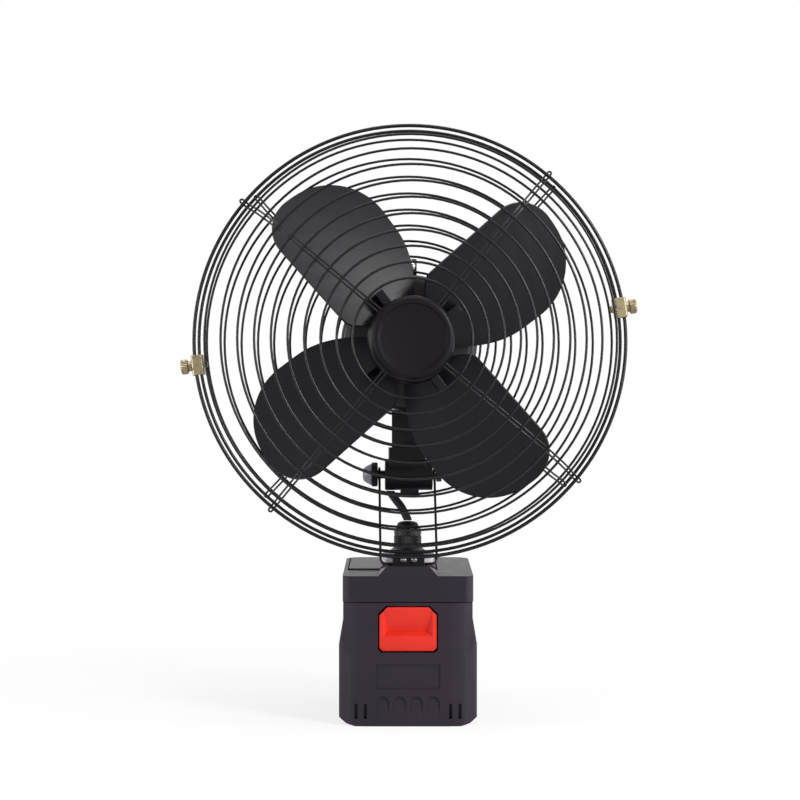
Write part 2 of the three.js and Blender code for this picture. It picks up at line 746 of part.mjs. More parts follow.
piece(fan, 'battery_lower_case', BLACK_PLASTIC, lowerCase());
piece(fan, 'battery_upper_case', BLACK_PLASTIC, upperCase());
cellPlaces().forEach((place, i) => {
  const cell = rod('x', CELL_D, -CELL_L / 2, CELL_L / 2, place, 12);
  piece(fan, `battery_cell_${i + 1}`, CELL_BLUE, cell);
});
piece(fan, 'cell_holder', GREY_PLASTIC, cellHolder());
piece(fan, 'battery_board', BOARD_GREEN, batteryBoard());
piece(fan, 'battery_terminals', GREY_PLASTIC, terminals());
piece(fan, 'release_latch', RED_PLASTIC, latch());
piece(fan, 'latch_spring', BRIGHT_STEEL, latchSpring());

// ------------------------------------------------------------------- adapter

const ADAPTER_FRONT_Y = CASE_FRONT_Y + ADAPTER_FRONT_INSET;
const ADAPTER_REAR_Y = CASE_REAR_Y - ADAPTER_REAR_INSET;
const SLOT_TOP_Z = RAIL_TOP_Z + RUN;
const FLOOR_Z = SLOT_TOP_Z + FLOOR_T;
const ADAPTER_W = SHOULDER_W + 2 * ADAPTER_LAP;
const LID_SEAT_Z = COVER_LOW_Z - GAP; // ledge under the cover

function adapterPlan(inset) {
  const corner = ADAPTER_CORNER_R - inset;
  return plan(
    ADAPTER_W / 2 - inset, ADAPTER_FRONT_Y + inset, ADAPTER_REAR_Y - inset,
    ADAPTER_FRONT_R - inset, corner,
  );
}

// Everything below the adapter's top, which rises to the rear.
function belowTop() {
  return prism('x', outline([
    [ADAPTER_FRONT_Y, 0],
    [ADAPTER_REAR_Y, 0],
    [ADAPTER_REAR_Y, ADAPTER_TOP_Z + ADAPTER_RISE],
    [ADAPTER_FRONT_Y, ADAPTER_TOP_Z],
  ]), -CASE_W, CASE_W);
}

// Plan of the opening that the cover fills, drawn in by a clearance.
function coverForm(clearance, low, high) {
  const bay = box(
    -CASE_W, COVER_RIGHT_X - clearance, COVER_SEAM_Y + clearance, CASE_D, low, high,
  );
  return prism('z', adapterPlan(WALL + clearance), low, high).intersect(bay);
}

function adapterHousing() {
  const outer = prism('z', adapterPlan(0), DECK_Z + GAP, NOSE_TOP_Z).intersect(belowTop());
  const noseProfile = prism('y', mirrored([
    [NOSE_FOOT_W / 2, ADAPTER_TOP_Z - 1],
    [NOSE_FOOT_W / 2, ADAPTER_TOP_Z],
    [NOSE_TOP_W / 2, NOSE_TOP_Z],
  ]), ADAPTER_FRONT_Y, COVER_SEAM_Y);
  const noseSide = prism('x', outline([
    [ADAPTER_FRONT_Y, ADAPTER_TOP_Z - 1],
    [COVER_SEAM_Y, ADAPTER_TOP_Z - 1],
    [COVER_SEAM_Y, PLATFORM_Z],
    [NOSE_END_Y, PLATFORM_Z],
    [ADAPTER_FRONT_Y, NOSE_TOP_Z],
  ]), -NOSE_FOOT_W, NOSE_FOOT_W);
  const nose = noseProfile.intersect(noseSide);
  const neck = RAIL_NECK_W / 2 + RUN;
  const wide = RAIL_HEAD_W / 2 + RUN;
  const slot = prism('y', mirrored([
    [neck, DECK_Z - 1],
    [neck, RAIL_STEP_Z - RUN],
    [wide, RAIL_STEP_Z - RUN],
    [wide, SLOT_TOP_Z],
  ]), ADAPTER_FRONT_Y - 1, ADAPTER_REAR_Y - WALL);
  const overhang = box(
    -CASE_W, CASE_W, ADAPTER_FRONT_Y - 1, BLOCK_REAR_Y + RUN,
    DECK_Z - 1, BLOCK_TOP_Z + GAP,
  );
  const room = prism('z', adapterPlan(WALL), FLOOR_Z, LID_SEAT_Z);
  const frontRoof = box(
    -CASE_W, CASE_W, ADAPTER_FRONT_Y, COVER_SEAM_Y - 2, LID_SEAT_Z - WALL, LID_SEAT_Z,
  );
  const wingRoof = box(
    COVER_RIGHT_X + 2, CASE_W, ADAPTER_FRONT_Y, ADAPTER_REAR_Y, LID_SEAT_Z - WALL, LID_SEAT_Z,
  );
  const opening = coverForm(0, LID_SEAT_Z - WALL - 1, NOSE_TOP_Z);
  const doorway = box(
    -SWITCH_W / 2 - GAP, SWITCH_W / 2 + GAP, ADAPTER_REAR_Y - WALL - 1, ADAPTER_REAR_Y + 1,
    SWITCH_Z - SWITCH_H / 2 - GAP, SWITCH_Z + SWITCH_H / 2 + GAP,
  );
  const pockets = join(room.subtract(join(frontRoof, wingRoof)), opening);
  return cut(join(outer, nose), slot, overhang, pockets, doorway);
}

function topCover() {
  const lid = coverForm(COVER_JOINT, COVER_LOW_Z, NOSE_TOP_Z).intersect(belowTop());
  const platform = prism('y', mirrored([
    [PLATFORM_W / 2, COVER_LOW_Z],
    [PLATFORM_W / 2, PLATFORM_Z - PLATFORM_BEVEL],
    [PLATFORM_W / 2 - PLATFORM_BEVEL, PLATFORM_Z],
  ]), COVER_SEAM_Y + COVER_JOINT, ADAPTER_REAR_Y - WALL - COVER_JOINT);
  const boss = rod('z', BOSS_D, PLATFORM_Z - 1, PLATFORM_Z + BOSS_H, [0, 0], 24);
  const hole = rod('z', POST_D + 2 * GAP, COVER_LOW_Z - 1, PLATFORM_Z + BOSS_H + 1);
  return cut(join(lid, platform, boss), hole);
}

function contacts() {
  const wallY = ADAPTER_REAR_Y - WALL - GAP;
  const startY = RAIL_END_Y + GAP;
  const low = SOCKET_LOW_Z + 2;
  const high = SOCKET_HIGH_Z - 1;
  const carrier = box(-SOCKET_W / 2 + 1, SOCKET_W / 2 - 1, startY, wallY, low, high);
  const blades = bladePlaces().map((x) => box(
    x - BLADE_T / 2, x + BLADE_T / 2, RAIL_END_Y - BLADE_REACH, startY + 1, low, high,
  ));
  return join(carrier, ...blades);
}

function switchBody() {
  const half = SWITCH_W / 2;
  const low = SWITCH_Z - SWITCH_H / 2;
  const high = SWITCH_Z + SWITCH_H / 2;
  const face = ADAPTER_REAR_Y + GAP;
  const body = box(-half, half, face + 1 - SWITCH_D, face + 1, low, high);
  const bezel = box(-half - 1.4, half + 1.4, face, face + 1, low - 1.2, high + 1.2);
  const cavity = box(
    -ROCKER_W / 2 - RUN, ROCKER_W / 2 + RUN, face - 8, face + 2,
    SWITCH_Z - ROCKER_H / 2 - RUN, SWITCH_Z + ROCKER_H / 2 + RUN,
  );
  return join(body, bezel).subtract(cavity);
}

function rocker() {
  const y = ADAPTER_REAR_Y;
  const half = ROCKER_H / 2;
  return prism('x', outline([
    [y - 5, SWITCH_Z - 1.6],
    [y - 5, SWITCH_Z + 1.6],
    [y + 1.6, SWITCH_Z + half - 0.4],
    [y + 2.6, SWITCH_Z + half - 0.7],
    [y + 1.4, SWITCH_Z],
    [y + 2.6, SWITCH_Z - half + 0.7],
    [y + 1.6, SWITCH_Z - half + 0.4],
  ]), -ROCKER_W / 2, ROCKER_W / 2);
}

piece(fan, 'adapter_housing', GREY_PLASTIC, adapterHousing());
piece(fan, 'adapter_top_cover', GREY_PLASTIC, topCover());
piece(fan, 'adapter_contacts', BRASS, contacts());
const BOARD_LOW_Z = FLOOR_Z + GAP;
const controlBoard = box(
  -CONTROL_W / 2, CONTROL_W / 2, CONTROL_Y, CONTROL_Y + CONTROL_L,
  BOARD_LOW_Z, BOARD_LOW_Z + BOARD_T,
);
piece(fan, 'control_board', BOARD_GREEN, controlBoard);
piece(fan, 'speed_switch', BLACK_PLASTIC, switchBody());
piece(fan, 'switch_rocker', BLACK_PLASTIC, rocker());

// -------------------------------------------------------------------- swivel

const BLOCK_Z = PLATFORM_Z + BOSS_H + GAP;
const SKIRT_Z = BLOCK_Z + BLOCK_T + GAP;
const NECK_Z = SKIRT_Z + SKIRT_H;
const NECK_TOP_Z = NECK_Z + NECK_H;
const POST_BORE = POST_D + 2 * GAP;
const SADDLE_BACK_Y = YOKE_FRONT_Y + YOKE_WIRE_D / 2;
const SADDLE_SCREW_Z = SKIRT_Z - 1.2;

function swivelPost() {
  const top = NECK_TOP_Z - GAP;
  const stem = rod('z', POST_D, COVER_LOW_Z - 2, top);
  const foot = rod('z', POST_D + 6, COVER_LOW_Z - GAP - 4, COVER_LOW_Z - GAP, [0, 0], 12);
  return join(stem, foot);
}

function nylonBlock() {
  const slab = prism(
    'z', plan(BLOCK_W / 2, -BLOCK_D / 2, BLOCK_D / 2, 3, 6), BLOCK_Z, BLOCK_Z + BLOCK_T,
  );
  const notch = box(
    -SADDLE_W / 2, SADDLE_W / 2, -BLOCK_D / 2 - 1, -BLOCK_D / 2 + 4, BLOCK_Z - 1, SKIRT_Z,
  );
  return cut(slab, rod('z', POST_BORE, BLOCK_Z - 1, SKIRT_Z), notch);
}

function swivelNeck() {
  const bore = POST_BORE / 2;
  const nutBore = POST_NUT_D / 2 + GAP;
  const seat = NECK_TOP_Z - POST_NUT_H - 1;
  const lathe = turned('z', [
    [bore, SKIRT_Z],
    [SKIRT_D / 2, SKIRT_Z],
    [SKIRT_D / 2, SKIRT_Z + 1],
    [SKIRT_D / 2 - 3, SKIRT_Z + 2.2],
    [NECK_D / 2 + 1.5, NECK_Z - 0.8],
    [NECK_D / 2, NECK_Z],
    [NECK_D / 2, NECK_TOP_Z - 0.5],
    [NECK_D / 2 - 0.5, NECK_TOP_Z],
    [nutBore, NECK_TOP_Z],
    [nutBore, seat],
    [bore, seat],
    [bore, SKIRT_Z],
  ], [0, 0], 28);
  const lugHalf = SADDLE_W / 2 - RUN;
  const lugBack = -BLOCK_D / 2 + 4 - GAP;
  const lug = box(-lugHalf, lugHalf, LUG_FRONT_Y, lugBack, BLOCK_Z, SADDLE_HIGH_Z);
  return cut(join(lathe, lug), ...saddleHoles());
}

function neckCap() {
  const low = NECK_TOP_Z + GAP;
  const r = CAP_D / 2;
  return turned('z', [
    [0, low],
    [r, low],
    [r, low + CAP_H * 0.35],
    [r * 0.88, low + CAP_H * 0.75],
    [r * 0.6, low + CAP_H],
    [0, low + CAP_H],
  ], [0, 0], 20);
}

// The bail: an eye at each end, straight legs that lean back, rounded corners
// and the bar across the front.
function yokeWire() {
  const half = YOKE_W / 2;
  const rise = TILT_Z - YOKE_LOW_Z;
  const lean = TILT_Y - YOKE_FRONT_Y;
  const up = new THREE.Vector3(0, lean, rise).normalize();
  const legEnd = Math.hypot(lean, rise) - EYE_D / 2 + LAP;
  const corner = (side) => new THREE.Vector3(side * half, YOKE_FRONT_Y, YOKE_LOW_Z);
  const onLeg = (side, along) => corner(side).addScaledVector(up, along);
  const onBar = (side, along) => corner(side).addScaledVector(X_AXIS, -side * along);
  const run = (path, steps) => wire(path, YOKE_WIRE_D, steps, 6);
  const parts = [run(new THREE.LineCurve3(onBar(-1, YOKE_BEND_R), onBar(1, YOKE_BEND_R)), 1)];
  for (const side of [-1, 1]) {
    const start = onLeg(side, YOKE_BEND_R + LAP);
    const end = onBar(side, YOKE_BEND_R + LAP);
    parts.push(run(new THREE.LineCurve3(onLeg(side, legEnd), onLeg(side, YOKE_BEND_R)), 1));
    parts.push(run(new THREE.QuadraticBezierCurve3(start, corner(side), end), 5));
    const eye = new THREE.TorusGeometry(EYE_D / 2, YOKE_WIRE_D / 2, 6, 16);
    eye.rotateY(HALF_TURN / 2);
    eye.translate(side * half, TILT_Y, TILT_Z);
    parts.push(solid(eye));
  }
  return join(...parts);
}

const SADDLE_FRONT_Y = SADDLE_BACK_Y - SADDLE_T;
const SADDLE_LOW_Z = PLATFORM_Z + GAP;
const SADDLE_HIGH_Z = SKIRT_Z + LUG_RISE;
const LUG_FRONT_Y = SADDLE_BACK_Y + GAP;

function wireSaddle() {
  const half = SADDLE_W / 2;
  const plate = prism('y', mirrored([
    [half, SADDLE_LOW_Z],
    [half, SADDLE_HIGH_Z - 1.5],
    [half - 1.5, SADDLE_HIGH_Z],
  ]), SADDLE_FRONT_Y, SADDLE_BACK_Y);
  const room = YOKE_WIRE_D / 2 + GAP;
  const groove = rod('x', 2 * room, -SADDLE_W, SADDLE_W, [YOKE_FRONT_Y, YOKE_LOW_Z], 12);
  const mouth = box(
    -SADDLE_W, SADDLE_W, YOKE_FRONT_Y, SADDLE_BACK_Y + 1,
    YOKE_LOW_Z - room, YOKE_LOW_Z + room,
  );
  return cut(plate, groove, mouth, ...saddleHoles());
}

function saddleHoles() {
  return [-0.5, 0.5].map((side) => rod(
    'y', SADDLE_SCREW_D + 2 * GAP, SADDLE_FRONT_Y - 1, LUG_FRONT_Y + SADDLE_SCREW_L,
    [side * SADDLE_SCREW_PITCH, SADDLE_SCREW_Z], 10,
  ));
}

function saddleScrew(side) {
  const centre = [side * SADDLE_SCREW_PITCH / 2, SADDLE_SCREW_Z];
  const face = SADDLE_FRONT_Y - GAP;
  const stem = rod('y', SADDLE_SCREW_D, face - 0.5, LUG_FRONT_Y + SADDLE_SCREW_L - GAP, centre, 8);
  const headR = SADDLE_HEAD_D / 2;
  const top = turned('y', [
    [0, face - 1.3], [headR - 0.6, face - 1.3], [headR, face - 0.8], [headR, face], [0, face],
  ], centre, 14);
  return join(top, stem);
}

function postNut() {
  const low = NECK_TOP_Z - POST_NUT_H - 1 + GAP;
  return hexNut('z', POST_NUT_D, POST_BORE, low, low + POST_NUT_H, [0, 0]);
}

// The motor's lead leaves the neck cap, leans to the left and goes up into the
// underside of the tilt barrel.
function motorLead() {
  const low = NECK_TOP_Z + GAP + CAP_H + 2 * GAP;
  const high = TILT_Z - BARREL_D / 2 - 2 * GAP;
  const reach = high - low;
  const route = smooth([
    [0, 0, low],
    [-0.1, 0.1, low + 0.05 * reach],
    [-1.1, 1.2, low + 0.17 * reach],
    [-3.6, 4.6, low + 0.45 * reach],
    [-7.4, 9.2, low + 0.74 * reach],
    [-LEAD_OFFSET + 0.1, TILT_Y - 0.3, low + 0.93 * reach],
    [-LEAD_OFFSET, TILT_Y, high],
  ]);
  return wire(route, LEAD_D, 14, 10);
}

const EYE_FACE_X = YOKE_W / 2 + YOKE_WIRE_D / 2 + GAP;
const KNOB_END_X = -EYE_FACE_X - KNOB_L;

function tiltBolt() {
  const centre = [TILT_Y, TILT_Z];
  const stem = rod('x', BOLT_D, KNOB_END_X + 2, EYE_FACE_X + 1, centre, 16);
  const hex = rod('x', BOLT_HEAD_D, EYE_FACE_X, EYE_FACE_X + BOLT_HEAD_T, centre, 6);
  return join(stem, hex);
}

function tiltKnob() {
  const r = KNOB_D / 2;
  const bore = BOLT_D / 2 + GAP;
  const near = -EYE_FACE_X;
  const floor = KNOB_END_X + 2 - GAP;
  const step = near - KNOB_GRIP_L;
  const body = turned('x', [
    [bore, near],
    [r - 0.6, near],
    [r, near - 0.6],
    [r, step],
    [r - 0.9, step - 0.4],
    [r - 1.3, step - 1.6],
    [r * 0.6, KNOB_END_X + 0.9],
    [r * 0.4, KNOB_END_X],
    [0, KNOB_END_X],
    [0, floor],
    [bore, floor],
    [bore, near],
  ], [TILT_Y, TILT_Z], 20);
  const flutes = Array.from({ length: KNOB_FLUTES }, (_, i) => {
    const a = FULL_TURN * i / KNOB_FLUTES;
    const place = [TILT_Y + (r + 0.35) * Math.cos(a), TILT_Z + (r + 0.35) * Math.sin(a)];
    return rod('x', FLUTE_D, step + 0.6, near + 1, place, 4);
  });
  return cut(body, ...flutes);
}

piece(fan, 'swivel_post', BRIGHT_STEEL, swivelPost());
piece(fan, 'post_nut', BRIGHT_STEEL, postNut());
piece(swivel, 'nylon_block', WHITE_NYLON, nylonBlock());
piece(swivel, 'swivel_neck', BLACK_PAINT, swivelNeck());
piece(swivel, 'neck_cap', BLACK_PLASTIC, neckCap());
piece(swivel, 'yoke_wire', DARK_METAL, yokeWire());
piece(swivel, 'wire_saddle', BLACK_PAINT, wireSaddle());
piece(swivel, 'saddle_screw_left', BRIGHT_STEEL, saddleScrew(-1));
piece(swivel, 'saddle_screw_right', BRIGHT_STEEL, saddleScrew(1));
piece(swivel, 'motor_lead', RUBBER, motorLead());
piece(swivel, 'tilt_bolt', DARK_METAL, tiltBolt());
piece(swivel, 'tilt_knob', GREY_PLASTIC, tiltKnob());

// --------------------------------------------------------------- motor group

const MOTOR_R = MOTOR_D / 2;
const BRACKET_FRONT_Y = MOTOR_REAR_Y + GAP + COVER_BULGE + GAP;
const BRACKET_REAR_Y = BRACKET_FRONT_Y + BRACKET_T;
const BRACKET_LOW_Z = TILT_Z + BLOCK_SLOT_DEPTH;
const AXIS = [0, FAN_Z]; // the fan axis, for parts turned about it
const BEARING_SEAT = BEARING_D / 2 + GAP;
const BEARING_BOSS = BEARING_SEAT + WALL;
const FRONT_BEARING_Y = MOTOR_FRONT_Y + MOTOR_WALL + GAP;
const REAR_BEARING_Y = MOTOR_REAR_Y - MOTOR_WALL;
const MAGNET_OUTER_D = MOTOR_D - 2 * (MOTOR_WALL + GAP);
const MAGNET_START_Y = MOTOR_FRONT_Y + MAGNET_SETBACK;
const SHAFT_BORE = SHAFT_D + 2 * GAP;

// Turns a body about the fan axis.
function spun(body, degrees) {
  return body.translate([0, 0, -FAN_Z]).rotate([0, -degrees, 0]).translate([0, 0, FAN_Z]);
}

function tiltBlock() {
  const barrel = rod('x', BARREL_D, -BARREL_LEFT, BARREL_RIGHT, [TILT_Y, TILT_Z], 28);
  const neck = box(
    -BLOCK_NECK_W / 2, BLOCK_NECK_W / 2, TILT_Y - 8, BRACKET_REAR_Y + GAP + 3,
    TILT_Z, TILT_Z + BLOCK_NECK_H,
  );
  const lug = box(
    -4, LUG_W - 4, TILT_Y - 5, TILT_Y + 5,
    TILT_Z - BARREL_D / 2 - LUG_DROP, TILT_Z - BARREL_D / 2 + 2,
  );
  const bore = rod(
    'x', BOLT_D + 2 * GAP, -BARREL_LEFT - 1, BARREL_RIGHT + 1, [TILT_Y, TILT_Z], 16,
  );
  const slot = box(
    -BRACKET_W / 2 - GAP, BRACKET_W / 2 + GAP, BRACKET_FRONT_Y - GAP, BRACKET_REAR_Y + GAP,
    BRACKET_LOW_Z - GAP, TILT_Z + BLOCK_NECK_H + 1,
  );
  return cut(join(barrel, neck, lug), bore, slot);
}

function bracketScrewPlaces() {
  return [1, 0].map((i) => BRACKET_TOP_Z - 4 - i * BRACKET_SCREW_PITCH);
}

function tiltBracket() {
  const half = BRACKET_W / 2;
  const plate = prism('y', mirrored([
    [half, BRACKET_LOW_Z],
    [half, BRACKET_TOP_Z - 4],
    [half - 4, BRACKET_TOP_Z],
  ]), BRACKET_FRONT_Y, BRACKET_REAR_Y);
  return cut(plate, ...bracketScrewPlaces().map((z) => screwHole(z)));
}

function screwHole(z) {
  const start = REAR_BEARING_Y;
  return rod('y', BRACKET_SCREW_D + 2 * GAP, start, BRACKET_REAR_Y + 1, [0, z], 10);
}

function bracketScrew(z) {
  const face = BRACKET_REAR_Y + GAP;
  const stem = rod('y', BRACKET_SCREW_D, MOTOR_REAR_Y + 3, face + 0.5, [0, z], 10);
  const top = rod('y', 2 * BRACKET_SCREW_D, face, face + 1.8, [0, z], 14);
  return join(stem, top);
}

function guardAngles() {
  return Array.from({ length: GUARD_SCREWS }, (_, i) => 90 + i * 360 / GUARD_SCREWS);
}

const REAR_RIM_Y = RIM_Y + RIM_STEP;
const REAR_RIM_R = RIM_R - REAR_RIM_INSET;
const LUG_FACE_Y = REAR_RIM_Y + REAR_DOME + RING_WIRE_D / 2 + GAP;

function motorHousing() {
  const inner = MOTOR_R - MOTOR_WALL;
  const front = MOTOR_FRONT_Y;
  const back = front + MOTOR_WALL;
  const mouth = SHAFT_D;
  const shell = turned('y', [
    [mouth, front],
    [MOTOR_R - 4, front],
    [MOTOR_R - 1.2, front + 1.2],
    [MOTOR_R, front + 4],
    [MOTOR_R, MOTOR_REAR_Y],
    [inner, MOTOR_REAR_Y],
    [inner, back],
    [BEARING_BOSS, back],
    [BEARING_BOSS, back + GAP + BEARING_T],
    [BEARING_SEAT, back + GAP + BEARING_T],
    [BEARING_SEAT, back],
    [mouth, back],
    [mouth, front],
  ], AXIS, 28);
  const lugs = guardAngles().map((angle) => {
    const arm = box(
      MOTOR_R - 1, LUG_REACH_R, LUG_FACE_Y, LUG_FACE_Y + MOTOR_WALL,
      FAN_Z - 5, FAN_Z + 5,
    );
    const hole = rod(
      'y', GUARD_SCREW_D + 2 * GAP, LUG_FACE_Y - 1, LUG_FACE_Y + MOTOR_WALL + 1,
      [GUARD_SCREW_R, FAN_Z], 10,
    );
    return spun(cut(arm, hole), angle);
  });
  return join(shell, ...lugs);
}

function rearCover() {
  const face = MOTOR_REAR_Y + GAP;
  const back = face + COVER_BULGE;
  const skin = face + COVER_BULGE / 2;
  const seat = REAR_BEARING_Y + BEARING_T + GAP;
  const dome = turned('y', [
    [0, back],
    [MOTOR_R - COVER_EDGE, back],
    [MOTOR_R - 1.5, face + 2],
    [MOTOR_R, face],
    [MOTOR_R - 4, face],
    [MOTOR_R - 6, skin - 0.6],
    [BEARING_BOSS + 1.5, skin - 0.6],
    [BEARING_BOSS, REAR_BEARING_Y],
    [BEARING_SEAT, REAR_BEARING_Y],
    [BEARING_SEAT, seat],
    [0, seat],
  ], AXIS, 28);
  return cut(dome, ...bracketScrewPlaces().map((z) => screwHole(z)));
}

function bearing(start) {
  return washer('y', BEARING_D, SHAFT_BORE, start, start + BEARING_T, AXIS, 20);
}

function magnet() {
  const inner = MAGNET_OUTER_D - 2 * MAGNET_T;
  return washer('y', MAGNET_OUTER_D, inner, MAGNET_START_Y, MAGNET_START_Y + ARMATURE_L, AXIS, 24);
}

function armature() {
  const core = washer(
    'y', ARMATURE_D, SHAFT_BORE, MAGNET_START_Y, MAGNET_START_Y + ARMATURE_L, AXIS, 24,
  );
  const grooves = Array.from({ length: ARMATURE_SLOTS }, (_, i) => {
    const groove = box(
      ARMATURE_D / 2 - 9, ARMATURE_D, MAGNET_START_Y - 1, MAGNET_START_Y + ARMATURE_L + 1,
      FAN_Z - 1.5, FAN_Z + 1.5,
    );
    return spun(groove, i * 360 / ARMATURE_SLOTS);
  });
  return cut(core, ...grooves);
}

piece(head, 'tilt_block', BLACK_PLASTIC, tiltBlock());
piece(head, 'tilt_bracket', BLACK_PAINT, tiltBracket());
bracketScrewPlaces().forEach((z, i) => {
  piece(head, `bracket_screw_${i + 1}`, BRIGHT_STEEL, bracketScrew(z));
});
piece(head, 'motor_housing', BLACK_PAINT, motorHousing());
piece(head, 'motor_rear_cover', BLACK_PAINT, rearCover());
piece(head, 'motor_magnet', MAGNET, magnet());
piece(head, 'front_bearing', BRIGHT_STEEL, bearing(FRONT_BEARING_Y));
piece(head, 'rear_bearing', BRIGHT_STEEL, bearing(REAR_BEARING_Y));

// ---------------------------------------------------------------------- cage

const RING_STEPS = RING_COUNT - 1;
const RING_REACH = RIM_R - RING_MARGIN - RING_FIRST_R;
const RING_PITCH = RING_REACH / RING_STEPS - RING_GROWTH * RING_STEPS;

function ringRadius(k) {
  return RING_FIRST_R + RING_PITCH * k + RING_GROWTH * k * k;
}

function frontY(r) {
  return RIM_Y - FRONT_DOME * (1 - Math.min(1, r / RIM_R) ** DOME_POWER);
}

function rearY(r) {
  return REAR_RIM_Y + REAR_DOME * (1 - Math.min(1, r / REAR_RIM_R) ** DOME_POWER);
}

function ring(radius, diameter, y, segments) {
  const torus = new THREE.TorusGeometry(radius, diameter / 2, 4, segments);
  torus.rotateX(HALF_TURN / 2);
  torus.translate(0, y, FAN_Z);
  return solid(torus);
}

// The rings from the k-th outwards, each at its height on the dome.
function rings(first, height) {
  const bodies = [];
  for (let k = first; k < RING_COUNT; k += 1) {
    const radius = ringRadius(k);
    bodies.push(ring(radius, RING_WIRE_D, height(radius), 4 * Math.round(3 + radius / 20)));
  }
  return bodies;
}

// A hairpin spoke drawn along +X and turned to its angle: two legs side by side
// that follow the dome, and a closed end.
function hairpin(points, angle) {
  const half = SPOKE_WIRE_D / 2;
  const upper = [];
  const lower = [];
  points.forEach(([r, y], i) => {
    const [r0, y0] = points[Math.max(0, i - 1)];
    const [r1, y1] = points[Math.min(points.length - 1, i + 1)];
    const length = Math.hypot(r1 - r0, y1 - y0);
    const [nr, ny] = [-(y1 - y0) / length * half, (r1 - r0) / length * half];
    upper.push([r + nr, y + ny]);
    lower.unshift([r - nr, y - ny]);
  });
  const strip = outline([...upper, ...lower]);
  const [endR, endY] = points[points.length - 1];
  const reach = SPOKE_SPREAD / 2 + half;
  const parts = [
    prism('z', strip, FAN_Z - reach, FAN_Z - reach + SPOKE_WIRE_D),
    prism('z', strip, FAN_Z + reach - SPOKE_WIRE_D, FAN_Z + reach),
    box(endR - SPOKE_WIRE_D, endR, endY - half, endY + half, FAN_Z - reach, FAN_Z + reach),
  ];
  return spun(join(...parts), angle);
}

// The spokes lie against the inside of the rings; side is +1 where the inside
// is towards +Y.
function spokes(startR, height, [rimR, rimWire, rimY], past, side, firstAngle) {
  const half = SPOKE_WIRE_D / 2;
  const seat = side * (RING_WIRE_D / 2 + half - LAP);
  const rimSeat = rimY + side * (rimWire / 2 + half - LAP);
  const turnIn = rimR - SPOKE_END_L;
  const stops = SPOKE_STOPS.map((k) => ringRadius(k));
  const radii = [startR, ...stops, turnIn];
  const points = radii.map((r) => [r, height(r) + seat]);
  points.push([rimR - half, rimSeat], [rimR + past, rimSeat]);
  return Array.from({ length: SPOKE_COUNT }, (_, i) => (
    hairpin(points, firstAngle + i * 360 / SPOKE_COUNT)
  ));
}

function frontGuard() {
  const rim = [RIM_R, RIM_WIRE_D, RIM_Y];
  return join(
    ring(...rim, RIM_SEGMENTS),
    ...rings(0, frontY),
    ...spokes(SPOKE_START_R, frontY, rim, SPOKE_PAST_RIM, 1, FRONT_SPOKE_ANGLE),
  );
}

function rearGuard() {
  const rim = [REAR_RIM_R, REAR_RIM_WIRE_D, REAR_RIM_Y];
  return join(
    ring(...rim, RIM_SEGMENTS),
    ...rings(1, rearY),
    ...spokes(ringRadius(1) - 1, rearY, rim, REAR_SPOKE_PAST_RIM, -1, REAR_SPOKE_ANGLE),
  );
}

function badge() {
  const spokeFront = frontY(0) + RING_WIRE_D / 2 - LAP;
  const back = spokeFront - GAP;
  const front = back - BADGE_T;
  const clamp = spokeFront + SPOKE_WIRE_D + GAP;
  const r = BADGE_D / 2;
  const dish = BADGE_DISH_D / 2;
  return turned('y', [
    [0, front + 1],
    [dish - 0.5, front + 1],
    [dish, front],
    [r - 1.8, front],
    [r - 0.4, front + 0.9],
    [r, front + 2.4],
    [r, back],
    [BADGE_POST_R, back],
    [BADGE_POST_R, clamp],
    [r - 5, clamp],
    [r - 5, clamp + 1.6],
    [0, clamp + 1.6],
  ], AXIS, 28);
}

function guardScrew(angle) {
  const seat = LUG_FACE_Y - RING_WIRE_D - 2 * GAP;
  const centre = [GUARD_SCREW_R, FAN_Z];
  const stem = rod('y', GUARD_SCREW_D, seat - 0.5, LUG_FACE_Y + MOTOR_WALL, centre, 10);
  const headR = GUARD_HEAD_D / 2;
  const top = turned('y', [
    [0, seat - 2.2], [headR - 1, seat - 2.2], [headR, seat - 1], [headR, seat], [0, seat],
  ], centre, 14);
  return spun(join(top, stem), angle);
}

// Guard clips: a bent strip over both rims, closed behind them by a screw
const CLIP_WEB_Y = RIM_Y - RIM_WIRE_D / 2 - GAP;
const CLIP_INNER_R = REAR_RIM_R - REAR_RIM_WIRE_D / 2 - 1.2 * GAP;
const CLIP_OUTER_R = RIM_R + RIM_WIRE_D / 2 + GAP;
const CLIP_SCREW_Y = REAR_RIM_Y + REAR_RIM_WIRE_D / 2 + CLIP_SCREW_D / 2 + GAP;
const CLIP_AXIS = [CLIP_SCREW_Y, FAN_Z];
const WING_START_R = CLIP_OUTER_R + CLIP_T + GAP;

function clip(angle) {
  const front = CLIP_WEB_Y - CLIP_T;
  const back = front + CLIP_DEPTH;
  const strip = prism('z', outline([
    [CLIP_INNER_R - CLIP_T, back],
    [CLIP_INNER_R - CLIP_T, front + 0.8],
    [CLIP_INNER_R - CLIP_T + 0.8, front],
    [CLIP_OUTER_R + CLIP_T - 0.8, front],
    [CLIP_OUTER_R + CLIP_T, front + 0.8],
    [CLIP_OUTER_R + CLIP_T, back],
    [CLIP_OUTER_R, back],
    [CLIP_OUTER_R, CLIP_WEB_Y],
    [CLIP_INNER_R, CLIP_WEB_Y],
    [CLIP_INNER_R, back],
  ]), FAN_Z - CLIP_W / 2, FAN_Z + CLIP_W / 2);
  const hole = rod('x', CLIP_SCREW_D + 2 * GAP, CLIP_INNER_R - 3, CLIP_OUTER_R + 3, CLIP_AXIS, 10);
  return spun(cut(strip, hole), angle);
}

function clipScrew(angle) {
  const start = CLIP_INNER_R - CLIP_T - GAP;
  const stem = rod('x', CLIP_SCREW_D, start - 0.5, WING_START_R + WING_L - 1.3, CLIP_AXIS, 8);
  const top = rod('x', 4.6, start - 1.8, start, CLIP_AXIS, 10);
  return spun(join(top, stem), angle);
}

